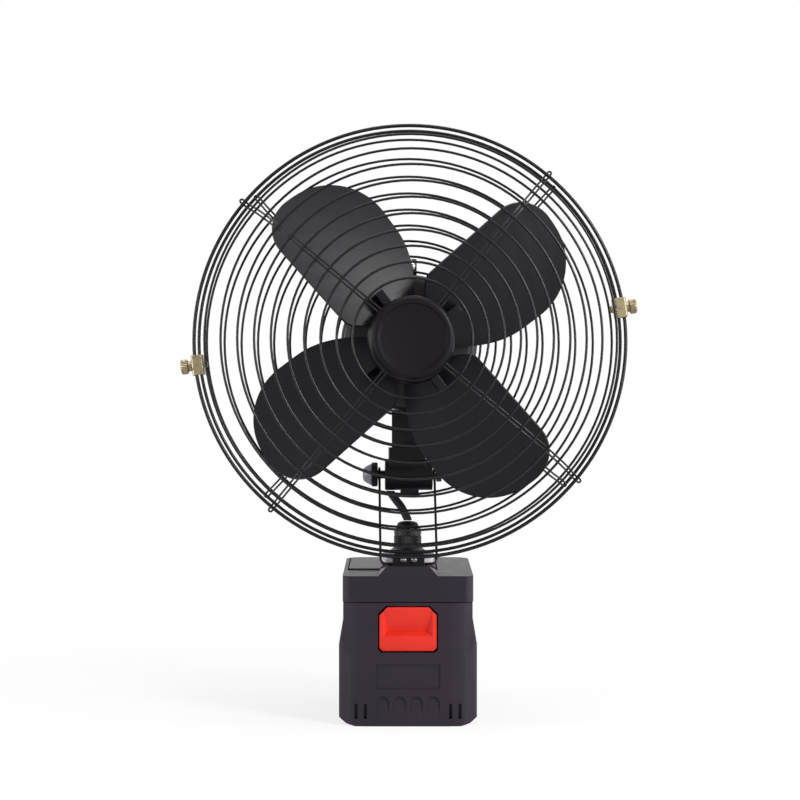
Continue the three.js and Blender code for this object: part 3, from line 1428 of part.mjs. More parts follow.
function clipNut(angle) {
  const bore = CLIP_SCREW_D / 2 + GAP;
  const end = WING_START_R + WING_L;
  const r = WING_D / 2;
  const body = turned('x', [
    [bore, WING_START_R],
    [r - 1.4, WING_START_R],
    [r - 1.4, WING_START_R + 2],
    [r, WING_START_R + 2.4],
    [r, end - 0.6],
    [r - 0.6, end],
    [0, end],
    [0, end - 1],
    [bore, end - 1],
    [bore, WING_START_R],
  ], CLIP_AXIS, 16);
  return spun(body, angle);
}

piece(head, 'front_guard', DARK_METAL, frontGuard());
piece(head, 'rear_guard', DARK_METAL, rearGuard());
piece(head, 'guard_cap', BLACK_PLASTIC, badge());
guardAngles().forEach((angle, i) => {
  piece(head, `guard_screw_${i + 1}`, BRIGHT_STEEL, guardScrew(angle));
});
['right', 'left'].forEach((side, i) => {
  piece(head, `guard_clip_${side}`, BRASS, clip(CLIP_ANGLES[i]));
  piece(head, `clip_screw_${side}`, BRASS, clipScrew(CLIP_ANGLES[i]));
  piece(head, `clip_nut_${side}`, BRASS, clipNut(CLIP_ANGLES[i]));
});

// --------------------------------------------------------------------- rotor

const HUB_FRONT_Y = BLADE_MID_Y - HUB_DEPTH * HUB_AHEAD;
const HUB_R = HUB_D / 2;

function hub() {
  const front = HUB_FRONT_Y;
  const back = front + HUB_DEPTH;
  const inner = HUB_R - HUB_WALL;
  const bore = SHAFT_BORE / 2;
  return turned('y', [
    [bore, front],
    [HUB_R - 4, front],
    [HUB_R - 1.2, front + 1],
    [HUB_R, front + 4],
    [HUB_R, back],
    [inner, back],
    [inner, front + HUB_WALL],
    [HUB_BOSS_R, front + HUB_WALL],
    [HUB_BOSS_R, back - 3],
    [bore, back - 3],
    [bore, front],
  ], AXIS, 28);
}

function roundTip(s, width, corner) {
  const start = BLADE_TIP_R - corner;
  if (s <= start) {
    return width;
  }
  const rise = Math.min(1, (s - start) / corner);
  return width - corner + corner * Math.sqrt(1 - rise * rise);
}

function drawnIn(s, fullR, depth) {
  const share = Math.min(1, (s - BLADE_START_R) / (fullR - BLADE_START_R));
  return depth * (1 - share) ** 2;
}

// A blade lies along +X with its leading edge towards -Z and the rear.
function bladeEdge(s) {
  const trailW = BLADE_TRAIL_W - BLADE_TRAIL_TAPER * (BLADE_TIP_R - s);
  return [
    drawnIn(s, LEAD_FULL_R, LEAD_ROOT_IN) - roundTip(s, BLADE_LEAD_W, LEAD_CORNER),
    roundTip(s, trailW, TRAIL_CORNER) - drawnIn(s, TRAIL_FULL_R, TRAIL_ROOT_IN),
  ];
}

function bladeSurface(s, x) {
  const share = Math.min(1, Math.max(0, (s - HUB_R) / (BLADE_TIP_R - HUB_R)));
  const pitch = radians(BLADE_ROOT_PITCH + (BLADE_TIP_PITCH - BLADE_ROOT_PITCH) * share);
  const camber = BLADE_CAMBER * (1 - (x / BLADE_LEAD_W) ** 2);
  return BLADE_MID_Y - x * Math.tan(pitch) + camber;
}

function blade(ahead, behind) {
  const rows = BLADE_ROWS.map((share) => (
    BLADE_START_R + (BLADE_TIP_R - BLADE_START_R) * share
  ));
  const positions = [];
  for (const offset of [-ahead, behind]) {
    for (const s of rows) {
      const [lead, trail] = bladeEdge(s);
      for (let j = 0; j <= BLADE_COLUMNS; j += 1) {
        const x = lead + (trail - lead) * j / BLADE_COLUMNS;
        const thinning = j === 0 || j === BLADE_COLUMNS ? 0.6 : 1;
        positions.push(s, bladeSurface(s, x) + offset * thinning, FAN_Z + x);
      }
    }
  }
  const wide = BLADE_COLUMNS + 1;
  const layer = rows.length * wide;
  const faces = [];
  const quad = (a, b, c, d) => faces.push(a, b, c, a, c, d);
  for (let i = 0; i + 1 < rows.length; i += 1) {
    for (let j = 0; j < BLADE_COLUMNS; j += 1) {
      const a = i * wide + j;
      quad(a, a + 1, a + 1 + wide, a + wide);
      quad(layer + a, layer + a + wide, layer + a + wide + 1, layer + a + 1);
    }
    const low = i * wide;
    const high = low + BLADE_COLUMNS;
    quad(low, low + wide, layer + low + wide, layer + low);
    quad(high, layer + high, layer + high + wide, high + wide);
  }
  const last = (rows.length - 1) * wide;
  for (let j = 0; j < BLADE_COLUMNS; j += 1) {
    quad(j, layer + j, layer + j + 1, j + 1);
    quad(last + j, last + j + 1, layer + last + j + 1, layer + last + j);
  }
  const geometry = new THREE.BufferGeometry();
  geometry.setAttribute('position', new THREE.Float32BufferAttribute(positions, 3));
  geometry.setIndex(faces);
  return solid(geometry);
}

// The block that stands on a blade's root, with a flat face to the front.
function rib() {
  const front = HUB_FRONT_Y + RIB_SETBACK;
  const low = FAN_Z - RIB_SHIFT - RIB_W / 2;
  const room = box(BLADE_START_R, RIB_END_R, front, 0, low, low + RIB_W);
  return blade(HUB_DEPTH, 0).intersect(room);
}

function fanRotor() {
  const half = BLADE_PLATE / 2;
  const insideHub = rod(
    'y', HUB_D - HUB_WALL, HUB_FRONT_Y - HUB_DEPTH, MOTOR_REAR_Y, AXIS, 28,
  );
  const motorRoom = rod(
    'y', MOTOR_D + 2 * MOTOR_AIR, MOTOR_FRONT_Y - MOTOR_AIR, MOTOR_REAR_Y, AXIS, 28,
  );
  const one = cut(join(blade(half, half), rib()), insideHub, motorRoom);
  const blades = Array.from({ length: BLADES }, (_, i) => (
    spun(one, BLADE_CENTRE_ANGLE + i * 360 / BLADES)
  ));
  return join(hub(), ...blades);
}

const shaft = rod(
  'y', SHAFT_D, HUB_FRONT_Y - NUT_T - SHAFT_PAST_NUT, REAR_BEARING_Y + BEARING_T, AXIS, 16,
);
const nutBack = HUB_FRONT_Y - GAP;
const hubNut = hexNut('y', NUT_D, SHAFT_BORE, nutBack - NUT_T, nutBack, AXIS);
piece(head, 'fan_shaft', BRIGHT_STEEL, shaft);
piece(head, 'armature', COPPER, armature());
piece(head, 'fan_rotor', BLADE_PLASTIC, fanRotor());
piece(head, 'hub_nut', BRIGHT_STEEL, hubNut);

export default fan;
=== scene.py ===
import math

import bmesh
import bpy
from mathutils import Matrix, Vector


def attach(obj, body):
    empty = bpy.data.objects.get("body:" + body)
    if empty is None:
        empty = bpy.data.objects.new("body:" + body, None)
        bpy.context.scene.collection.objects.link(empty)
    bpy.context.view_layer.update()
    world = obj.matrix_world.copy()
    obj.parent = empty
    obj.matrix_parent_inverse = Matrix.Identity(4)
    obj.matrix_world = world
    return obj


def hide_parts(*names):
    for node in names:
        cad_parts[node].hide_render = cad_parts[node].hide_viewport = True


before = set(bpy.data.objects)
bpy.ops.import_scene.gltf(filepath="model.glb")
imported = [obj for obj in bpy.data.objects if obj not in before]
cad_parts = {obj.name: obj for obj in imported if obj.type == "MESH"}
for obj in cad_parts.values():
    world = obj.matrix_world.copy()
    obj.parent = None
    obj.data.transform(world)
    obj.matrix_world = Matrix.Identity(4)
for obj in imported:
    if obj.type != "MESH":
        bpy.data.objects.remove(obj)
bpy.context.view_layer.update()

# Driving sizes of the fan, in millimetres and degrees, +Z up, front towards -Y
MM = 0.001
HEAD_PAN = 1.8
HEAD_TILT = 2.2
TILT_Y = 12.0
TILT_Z = 141.5
FAN_Z = 219.3
GAP = 0.3

RIM_Y = -51.2
RIM_R = 124.6
RIM_WIRE = 2.1
REAR_RIM_R = 122.0
REAR_RIM_WIRE = 1.9
RIM_STEP = 4.2
REAR_RIM_Y = RIM_Y + RIM_STEP
FRONT_DOME = 33.0
REAR_DOME = 29.0
DOME_POWER = 8
RING_FIRST_R = 33.8
RING_MARGIN = 6.65
RING_GROWTH = 0.05
RING_COUNT = 10
RING_GAPS = RING_COUNT - 1
RING_PITCH = (RIM_R - RING_MARGIN - RING_FIRST_R) / RING_GAPS - RING_GROWTH * RING_GAPS
RING_WIRE = 1.5
SPOKE_WIRE = 1.15
SPOKE_SPREAD = 2.1
SPOKE_COUNT = 4
SPOKE_END_L = 2.4
SPOKE_START_R = 13.0
SPOKE_PAST_RIM = 3.4
REAR_SPOKE_PAST_RIM = 1.3
FRONT_SPOKE_ANGLE = 50.3
REAR_SPOKE_ANGLE = 47.0
SPOKE_LEG_STEPS = 40
SPOKE_BEND_STEPS = 8
SPOKE_CROWDING = 0.8  # below 1, a leg's points lie closer together near the rim
SPOKE_LEAN = 0.9  # share of its leg after which a spoke leans over to the rim
WELD = 0.25  # how far crossing wires sink into each other

BADGE_R = 23.5
BADGE_DISH_R = 19.3
BADGE_DISH = 1.1
BADGE_T = 6.5
BADGE_POST_R = 4.0
BADGE_AHEAD = 0.15  # of the spokes that it is clamped to
CLAMP_R = BADGE_R - 5
CLAMP_T = 1.6

BLADE_MID_Y = -51.0
BLADES = 4
BLADE_TIP_R = 107.3
BLADE_LEAD_W = 33.5
BLADE_TRAIL_W = 30.3
BLADE_TRAIL_TAPER = 0.085
BLADE_PLATE = 1.8
BLADE_CENTRE_ANGLE = 37.0
BLADE_ROOT_PITCH = 24.0
BLADE_TIP_PITCH = 15.0
BLADE_CAMBER = 3.0
BLADE_START_R = 17.0
LEAD_FULL_R = 58.0
LEAD_ROOT_IN = 17.5
TRAIL_FULL_R = 31.5
TRAIL_ROOT_IN = 20.0
LEAD_CORNER = 37.5
TRAIL_CORNER = 22.0
HUB_R = 25.0
HUB_DEPTH = 23.0
HUB_WALL = 2.0
HUB_BOSS_R = 6.0
HUB_AHEAD = 0.7  # share of the hub that lies ahead of the blades' middle
HUB_FRONT_Y = BLADE_MID_Y - HUB_DEPTH * HUB_AHEAD
RIB_W = 5.0
RIB_END_R = 33.5
RIB_SETBACK = 7.0
RIB_SHIFT = 2.0
RIB_T = 4.0

MOTOR_R = 40.0
MOTOR_FRONT_Y = -35.0
MOTOR_REAR_Y = 11.0
MOTOR_WALL = 2.2
MOTOR_MOUTH_R = 5.0
COVER_BULGE = 5.5
BRACKET_T = 2.6
SHAFT_R = 2.5
LUG_FACE_Y = REAR_RIM_Y + REAR_DOME + RING_WIRE / 2 + GAP
LUG_END_R = MOTOR_R + 10.5
LUG_HALF_W = 5.0
GUARD_SCREW_R = 46.3
GUARD_SCREW_ANGLES = (90, 210, 330)
BRACKET_SCREWS_Z = (196, 203)

# Radius and height of a screw's head, radius and length of its stem
GUARD_SCREW = (4.0, 2.2, 1.5, 4.3)
BRACKET_SCREW = (3.0, 1.8, 1.5, 4.6)
SADDLE_SCREW = (1.9, 1.3, 1.0, 6.0)
CLIP_HEAD = (2.3, 1.8)
CROSS_REACH = 0.58  # share of the head's radius
CROSS_DEPTH = 0.55  # share of the head's height
CROSS_WIDTH = 0.26  # half of it, as a share of the reach

BARREL_D = 19.0
YOKE_W = 33.4
YOKE_WIRE = 1.5
YOKE_FRONT_Y = -17.4
YOKE_LOW_Z = 90.0
YOKE_BEND_R = 4.0
YOKE_BEND_STEPS = 8
EYE_R = 3.8
EYE_STEPS = 40
KNOB_R = 7.3
KNOB_L = 9.0
KNOB_GRIP_L = 3.6
KNOB_RIDGES = 22
KNOB_RIDGE = 0.55
LEAD_D = 4.9
LEAD_OFFSET = 9.8

SKIRT_R = 16.0
SKIRT_Z = 93.7
NECK_R = 8.25
NECK_Z = 98.7
NECK_TOP_Z = 109.7
NECK_BORE_R = 6.3
NECK_BORE_L = 5.0
NECK_GROOVE_Z = NECK_TOP_Z - 4.3
NECK_STEPS = 120
KNURL = 0.3
POST_BORE_R = 4.3
NECK_LUG = ((-8.8, -16.35, 90.2), (8.8, -11.3, 97.1))
CAP_R = 6.45
CAP_H = 4.0
SADDLE_T = 3.1
SADDLE_SCREW_X = 3.1
SADDLE_SCREW_Z = SKIRT_Z - 1.2

RAIL_SLOT = ((-37.8, -40.0, 58.2), (37.8, 48.0, 71.4))  # its thin lips stay square

# The lid's front edge is lifted, so that its seam shows
LID_FRONT_Y = -21.0
LID_LOW_Z = 86.0
LID_PROUD = 0.9

CLIP_ANGLES = (9.0, 186.5)
CLIP_T = 0.8
CLIP_SCREW_R = 1.3
CLIP_INNER_R = REAR_RIM_R - REAR_RIM_WIRE / 2 - 1.2 * GAP
CLIP_OUTER_R = RIM_R + RIM_WIRE / 2 + GAP
CLIP_SCREW_Y = REAR_RIM_Y + REAR_RIM_WIRE / 2 + CLIP_SCREW_R + GAP
WING_R = 4.3
WING_L = 6.4
WING_STEPS = 48
WING_KNURL = 0.35
NUT_START_X = CLIP_OUTER_R + CLIP_T + GAP
NUT_END_X = NUT_START_X + WING_L

# How meshes are cleaned and how sharp an edge has to be
MERGE_WITHIN = 1e-4
COPY_MERGE_WITHIN = 2e-6  # in metres, as the CAD nodes are
COPY_FLAT_ANGLE = 0.6
COPY_SHARP_ANGLE = 28
SHARP_ANGLE = 32
WIRE_SHARP_ANGLE = 50
EDGE_STEPS = 2

X_AXIS = Vector((1, 0, 0))
Y_AXIS = Vector((0, 1, 0))
Z_AXIS = Vector((0, 0, 1))

ORIGIN = Vector((0, 0, 0))
FAN_CENTRE = Vector((0, 0, FAN_Z))

# Where the parts that are drawn level stand in the rest pose
SWIVEL = Matrix.Rotation(math.radians(HEAD_PAN), 4, "Z")
HEAD = (
    SWIVEL
    @ Matrix.Translation((0, TILT_Y, TILT_Z))
    @ Matrix.Rotation(-math.radians(HEAD_TILT), 4, "X")
    @ Matrix.Translation((0, -TILT_Y, -TILT_Z))
)


# ------------------------------------------------------------------ finishes


class Signal:
    """A shader socket that arithmetic works on."""

    def __init__(self, network, socket):
        self.network = network
        self.socket = socket

    def _math(self, operation, first, second):
        return self.network.node(
            "ShaderNodeMath", {"operation": operation}, {0: first, 1: second}
        )

    def __add__(self, other):
        return self._math("ADD", self, other)

    def __radd__(self, other):
        return self._math("ADD", other, self)

    def __sub__(self, other):
        return self._math("SUBTRACT", self, other)

    def __rsub__(self, other):
        return self._math("SUBTRACT", other, self)

    def __mul__(self, other):
        return self._math("MULTIPLY", self, other)

    def __rmul__(self, other):
        return self._math("MULTIPLY", other, self)


class Network:
    """A tree of shader nodes that starts empty."""

    def __init__(self, tree):
        self.tree = tree
        self.tree.nodes.clear()

    def node(self, kind, settings=None, sockets=None, output=0, stops=None):
        """Adds a node; stops are a ramp's (position, grey value) pairs."""
        made = self.tree.nodes.new(kind)
        for key, value in (settings or {}).items():
            setattr(made, key, value)
        if stops:
            ramp = made.color_ramp
            while len(ramp.elements) < len(stops):
                ramp.elements.new(0.5)
            for element, (position, value) in zip(ramp.elements, stops):
                element.position = position
                element.color = (value, value, value, 1)
        for key, value in (sockets or {}).items():
            self.feed(made.inputs[key], value)
        return Signal(self, made.outputs[output] if made.outputs else None)

    def feed(self, socket, value):
        if isinstance(value, Signal):
            self.tree.links.new(value.socket, socket)
        else:
            socket.default_value = value


class Finish(Network):
    """A material whose Principled shader is fed by a few nodes."""

    def __init__(self, name, specular=0.5, metallic=0.0):
        self.material = bpy.data.materials.new(name)
        self.material.use_nodes = True
        super().__init__(self.material.node_tree)
        shader = self.node("ShaderNodeBsdfPrincipled")
        self.shader = shader.socket.node
        self.node("ShaderNodeOutputMaterial", sockets={"Surface": shader})
        self.feed(self.shader.inputs["Specular IOR Level"], specular)
        self.feed(self.shader.inputs["Metallic"], metallic)
        self.place = self.node("ShaderNodeTexCoord", output="Object")

    def noise(self, size_mm, detail=2.0, stretch=(1, 1, 1), roughness=0.5):
        """Cloudy noise whose patches are about size_mm across."""
        placed = self.node(
            "ShaderNodeMapping", sockets={"Vector": self.place, "Scale": stretch}
        )
        return self.node(
            "ShaderNodeTexNoise",
            sockets={
                "Vector": placed,
                "Scale": 1 / (size_mm * MM),
                "Detail": detail,
                "Roughness": roughness,
            },
        )

    def band(self, signal, low, high):
        """0 below low, 1 above high, and a slope between."""
        return self.node(
            "ShaderNodeValToRGB", sockets={"Fac": signal}, stops=((low, 0), (high, 1))
        )

    def mix(self, factor, dark, light):
        return self.node(
            "ShaderNodeMix",
            {"data_type": "RGBA"},
            {"Factor": factor, 6: dark, 7: light},
            output=2,
        )

    def wear(self, colour, roughness, bump, depth_mm, strength):
        """Feeds the shader and gives the material that is done with it."""
        normal = self.node(
            "ShaderNodeBump",
            sockets={"Strength": strength, "Distance": depth_mm * MM, "Height": bump},
        )
        self.feed(self.shader.inputs["Base Color"], colour)
        self.feed(self.shader.inputs["Roughness"], roughness)
        self.feed(self.shader.inputs["Normal"], normal)
        return self.material


def tone(red, green, blue):
    """A colour given as it looks on a screen, 0 to 255, as the shader wants it."""

    def straight(value):
        value /= 255
        return value / 12.92 if value <= 0.04045 else ((value + 0.055) / 1.055) ** 2.4

    return (straight(red), straight(green), straight(blue), 1.0)


def moulded_plastic(name, dark, light, roughness, grain_mm=0.45):
    """Spark-textured moulding: a fine even grain, faint cloudiness and rubbed spots."""
    finish = Finish(name, 0.2)
    cloud = finish.noise(28, detail=3)
    grain = finish.noise(grain_mm, detail=1, roughness=0.6)
    rubbed = finish.band(finish.noise(9, detail=4), 0.56, 0.74)
    colour = finish.mix(cloud * 0.75 + grain * 0.25, dark, light)
    gloss = roughness + grain * 0.12 - rubbed * 0.07
    return finish.wear(colour, gloss, grain, 0.04, 0.35)


def smooth_plastic(name, dark, light, roughness, specular=0.5):
    """Plain moulding with a faint ripple and handling marks."""
    finish = Finish(name, specular)
    cloud = finish.noise(22, detail=2)
    marks = finish.band(finish.noise(2.2, detail=5, stretch=(1, 1, 3)), 0.58, 0.72)
    colour = finish.mix(cloud, dark, light)
    return finish.wear(colour, roughness + marks * 0.1, finish.noise(5, 2), 0.03, 0.2)


def powder_coat(name, dark, light, roughness):
    """Baked paint on steel with a light orange peel."""
    finish = Finish(name, 0.3)
    peel = finish.noise(1.3, detail=1)
    cloud = finish.noise(30, detail=2)
    colour = finish.mix(cloud, dark, light)
    return finish.wear(colour, roughness + peel * 0.1, peel, 0.06, 0.3)


def coated_wire(name, dark, light, roughness):
    """Dark coating on drawn wire, a little uneven in gloss."""
    finish = Finish(name, 0.25)
    patch = finish.noise(7, detail=3)
    peel = finish.noise(0.9, detail=1)
    colour = finish.mix(finish.band(patch, 0.35, 0.7), dark, light)
    return finish.wear(colour, roughness + patch * 0.12, peel, 0.03, 0.25)


def bright_metal(name, dark, light, roughness):
    """Plated metal with a fine grain and dull spots."""
    finish = Finish(name, metallic=1.0)
    grain = finish.noise(0.5, detail=2)
    dull = finish.band(finish.noise(3.0, detail=4), 0.5, 0.75)
    colour = finish.mix(dull, light, dark)
    return finish.wear(colour, roughness + dull * 0.2 + grain * 0.08, grain, 0.015, 0.25)


def rubber_sleeve(name, dark, light):
    """Matt extruded sleeve with a fine grain."""
    finish = Finish(name, 0.25)
    grain = finish.noise(0.6, detail=2)
    colour = finish.mix(finish.noise(6, detail=2), dark, light)
    return finish.wear(colour, 0.62 + grain * 0.15, grain, 0.06, 0.4)


CASE = moulded_plastic("case_black", tone(26, 19, 28), tone(37, 29, 39), 0.36)
ADAPTER = moulded_plastic("adapter_grey", tone(24, 17, 26), tone(33, 26, 35), 0.34)
PLAIN_BLACK = moulded_plastic(
    "fitting_black", tone(13, 12, 14), tone(20, 18, 22), 0.42, grain_mm=0.35
)
BADGE = smooth_plastic("badge_black", tone(11, 9, 12), tone(18, 15, 19), 0.36, 0.1)
LATCH = smooth_plastic("latch_red", tone(188, 30, 18), tone(204, 42, 26), 0.42, 0.25)
NYLON = smooth_plastic("nylon_white", tone(228, 222, 234), tone(242, 236, 248), 0.45)
BLADE = smooth_plastic("blade_black", tone(11, 10, 14), tone(19, 17, 23), 0.34, 0.19)
PAINT = powder_coat("black_paint", tone(14, 13, 16), tone(24, 22, 27), 0.30)
WIRE = coated_wire("wire_black", tone(8, 8, 10), tone(16, 15, 19), 0.2)
STEEL = bright_metal("zinc_steel", tone(150, 148, 152), tone(206, 204, 208), 0.24)
BRASS = bright_metal("clip_nickel", tone(84, 74, 56), tone(142, 130, 104), 0.3)
DULL_STEEL = bright_metal("dull_steel", tone(84, 81, 86), tone(132, 128, 134), 0.4)
CONTACT = bright_metal("contact_brass", tone(150, 118, 62), tone(205, 170, 104), 0.26)
WINDING = bright_metal("winding_copper", tone(120, 62, 30), tone(176, 98, 54), 0.35)
FERRITE = powder_coat("magnet_grey", tone(66, 64, 68), tone(84, 81, 86), 0.55)
SLEEVE = rubber_sleeve("lead_sleeve", tone(20, 19, 23), tone(32, 30, 35))
BOARD = smooth_plastic("board_green", tone(28, 78, 46), tone(40, 98, 58), 0.4)
WRAP = smooth_plastic("cell_wrap", tone(40, 92, 150), tone(58, 116, 176), 0.35)
KNOB_END = smooth_plastic("knob_end", tone(92, 86, 100), tone(120, 114, 128), 0.34)


# --------------------------------------------------------------- mesh making


def turned(outline, along, centre, steps):
    """Spins an outline of (radius, place along the axis) pairs about that axis."""
    made = bmesh.new()
    out = Z_AXIS if along != Z_AXIS else X_AXIS
    corners = [made.verts.new(centre + out * r + along * h) for r, h in outline]
    edges = [made.edges.new(pair) for pair in zip(corners, corners[1:])]
    bmesh.ops.spin(
        made,
        geom=corners + edges,
        cent=centre,
        axis=along,
        dvec=(0, 0, 0),
        angle=math.tau,
        steps=steps,
        use_merge=True,
    )
    bmesh.ops.remove_doubles(made, verts=made.verts, dist=MERGE_WITHIN)
    return made


def wire_ring(bm, radius, thickness, y, steps, sides=10):
    """A closed ring of round wire about the fan axis."""
    circle = bmesh.ops.create_circle(
        bm,
        segments=sides,
        radius=thickness / 2,
        matrix=Matrix.Translation((radius, y, FAN_Z)),
    )
    edges = list({edge for vert in circle["verts"] for edge in vert.link_edges})
    bmesh.ops.spin(
        bm,
        geom=circle["verts"] + edges,
        cent=FAN_CENTRE,
        axis=Y_AXIS,
        dvec=(0, 0, 0),
        angle=math.tau,
        steps=steps,
        use_merge=True,
    )


def bent_wire(bm, points, thickness, closed=False, rounding=4):
    """Adds round wire that follows a list of points."""
    curve = bpy.data.curves.new("bent_wire", "CURVE")
    curve.dimensions = "3D"
    curve.bevel_depth = thickness / 2
    curve.bevel_resolution = rounding
    curve.use_fill_caps = True
    spline = curve.splines.new("POLY")
    spline.points.add(len(points) - 1)
    for spot, point in zip(spline.points, points):
        spot.co = (*point, 1)
    spline.use_cyclic_u = closed
    holder = bpy.data.objects.new("bent_wire", curve)
    mesh = holder.to_mesh()
    bm.from_mesh(mesh)
    holder.to_mesh_clear()
    bpy.data.objects.remove(holder)
    bpy.data.curves.remove(curve)


def rounded_box(bm, low, high, radius):
    """A block between two corners, with its edges rounded over."""
    low = Vector(low)
    high = Vector(high)
    fit = Matrix.Translation((low + high) / 2) @ Matrix.Diagonal((*(high - low), 1))
    made = bmesh.ops.create_cube(bm, size=1, matrix=fit)
    edges = list({edge for vert in made["verts"] for edge in vert.link_edges})
    bmesh.ops.bevel(
        bm,
        geom=edges,
        offset=radius,
        segments=EDGE_STEPS,
        profile=0.5,
        affect="EDGES",
        material=-1,
    )


def finished(bm, name, body, material, node, place, slot, **looks):
    """Turns a bmesh in millimetres into a finished piece that rides on a body."""
    bmesh.ops.remove_doubles(bm, verts=bm.verts, dist=MERGE_WITHIN)
    bmesh.ops.transform(bm, matrix=Matrix.Scale(MM, 4) @ place, verts=bm.verts)
    bmesh.ops.recalc_face_normals(bm, faces=bm.faces)
    dressed(bm, name, body, material, node, slot, **looks)


def mark_edges(bm, sharp, plain):
    """Marks the sharp edges to be rounded, but none inside the plain box."""
    weight = bm.edges.layers.float.new("bevel_weight_edge")
    low, high = plain
    for edge in bm.edges:
        inside = all(
            low[i] * MM <= vert.co[i] <= high[i] * MM for vert in edge.verts for i in range(3)
        )
        if not inside and edge.calc_face_angle(0) > math.radians(sharp):
            edge[weight] = 1.0


def dressed(bm, name, body, material, node, slot, bevel=0.0, sharp=SHARP_ANGLE, plain=None):
    """Makes a piece of a bmesh in metres, with its edges rounded where bevel says."""
    if plain:
        mark_edges(bm, sharp, plain)
    mesh = bpy.data.meshes.new(name)
    bm.to_mesh(mesh)
    bm.free()
    mesh.shade_smooth()
    mesh.set_sharp_from_angle(angle=math.radians(sharp))
    for one in material if isinstance(material, list) else [material]:
        mesh.materials.append(one)
    piece = bpy.data.objects.new(name, mesh)
    bpy.context.collection.objects.link(piece)
    if bevel:
        edge = piece.modifiers.new("edge", "BEVEL")
        edge.width = bevel * MM
        edge.segments = EDGE_STEPS
        edge.limit_method = "WEIGHT" if plain else "ANGLE"
        edge.angle_limit = math.radians(sharp)
        piece.modifiers.new("even", "WEIGHTED_NORMAL")
    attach(piece, body)
    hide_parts(node)


def rounded_copy(node, name, body, material, bevel, slot, plain=None):
    """The CAD solid with its flat faces made whole and its edges rounded over."""
    bm = bmesh.new()
    bm.from_mesh(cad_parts[node].data)
    bmesh.ops.remove_doubles(bm, verts=bm.verts, dist=COPY_MERGE_WITHIN)
    flat = math.radians(COPY_FLAT_ANGLE)
    bmesh.ops.dissolve_limit(bm, angle_limit=flat, verts=bm.verts, edges=bm.edges)
    dressed(bm, name, body, material, node, slot, bevel, COPY_SHARP_ANGLE, plain)


def add_to(bm, other):
    """Moves what one bmesh holds into another."""
    mesh = bpy.data.meshes.new("part")
    other.to_mesh(mesh)
    bm.from_mesh(mesh)
    bpy.data.meshes.remove(mesh)
    other.free()


def turn_to(bm, degrees):
    """Turns a bmesh about the fan axis, anticlockwise as seen from the front."""
    turn = (
        Matrix.Translation(FAN_CENTRE)
        @ Matrix.Rotation(-math.radians(degrees), 4, Y_AXIS)
        @ Matrix.Translation(-FAN_CENTRE)
    )
    bmesh.ops.transform(bm, matrix=turn, verts=bm.verts)


def around(bm, count, first):
    """Repeats what a bmesh holds about the fan axis, the first at a given angle."""
    whole = bmesh.new()
    for i in range(count):
        copy = bm.copy()
        turn_to(copy, first + i * 360 / count)
        add_to(whole, copy)
    bm.free()
    return whole


# ---------------------------------------------------------------------- cage


def ring_radius(k):
    """The rings' spacing grows a little from one to the next."""
    return RING_FIRST_R + RING_PITCH * k + RING_GROWTH * k * k


def front_dome(r):
    """Where the front guard's rings lie along the fan axis."""
    return RIM_Y - FRONT_DOME * (1 - min(1.0, r / RIM_R) ** DOME_POWER)


def rear_dome(r):
    """Where the rear guard's rings lie along the fan axis."""
    return REAR_RIM_Y + REAR_DOME * (1 - min(1.0, r / REAR_RIM_R) ** DOME_POWER)


def cage_rings(bm, first_ring, dome, rim):
    """A rim and its rings, which have more steps the wider they are."""
    rim_r, rim_wire, rim_y = rim
    wire_ring(bm, rim_r, rim_wire, rim_y, steps=144, sides=12)
    for k in range(first_ring, RING_COUNT):
        r = ring_radius(k)
        wire_ring(bm, r, RING_WIRE, dome(r), steps=48 + 8 * k)


def hairpin(start_r, end_r, dome, rim, inward):
    """The route of a spoke: out along one leg, round the end and back."""
    rim_r, rim_wire, rim_y = rim
    half = SPOKE_SPREAD / 2
    seat = inward * (RING_WIRE / 2 + SPOKE_WIRE / 2 - WELD)
    rim_seat = rim_y + inward * (rim_wire / 2 + SPOKE_WIRE / 2 - WELD)
    straight_r = end_r - SPOKE_WIRE / 2 - half
    rim_start_r = rim_r - SPOKE_END_L
    reach = rim_start_r - start_r
    leg = []
    for i in range(SPOKE_LEG_STEPS + 1):
        share = i / SPOKE_LEG_STEPS
        r = start_r + reach * share ** SPOKE_CROWDING
        ease = max(0.0, (share - SPOKE_LEAN) / (1 - SPOKE_LEAN))
        y = dome(r) + seat
        leg.append((r, y + (rim_seat - y) * ease * ease))
    leg.append((straight_r, rim_seat))
    route = [(r, y, FAN_Z - half) for r, y in leg]
    for i in range(1, SPOKE_BEND_STEPS):
        a = math.pi * i / SPOKE_BEND_STEPS
        bend_r = straight_r + half * math.sin(a)
        route.append((bend_r, rim_seat, FAN_Z - half * math.cos(a)))
    route += [(r, y, FAN_Z + half) for r, y in reversed(leg)]
    return route


def guard(name, node, rim, dome, first_ring, start_r, end_r, angle, inward):
    """Half of the cage; inward is the way along Y from its rings to its spokes."""
    spoke = bmesh.new()
    bent_wire(spoke, hairpin(start_r, end_r, dome, rim, inward), SPOKE_WIRE)
    bm = around(spoke, SPOKE_COUNT, angle)
    cage_rings(bm, first_ring, dome, rim)
    finished(bm, name, "head", WIRE, node, HEAD, "wire", sharp=WIRE_SHARP_ANGLE)


guard(
    "front_guard_wires",
    "front_guard",
    rim=(RIM_R, RIM_WIRE, RIM_Y),
    dome=front_dome,
    first_ring=0,
    start_r=SPOKE_START_R,
    end_r=RIM_R + SPOKE_PAST_RIM,
    angle=FRONT_SPOKE_ANGLE,
    inward=1,
)
guard(
    "rear_guard_wires",
    "rear_guard",
    rim=(REAR_RIM_R, REAR_RIM_WIRE, REAR_RIM_Y),
    dome=rear_dome,
    first_ring=1,
    start_r=ring_radius(1) - 1,
    end_r=REAR_RIM_R + REAR_SPOKE_PAST_RIM,
    angle=REAR_SPOKE_ANGLE,
    inward=-1,
)


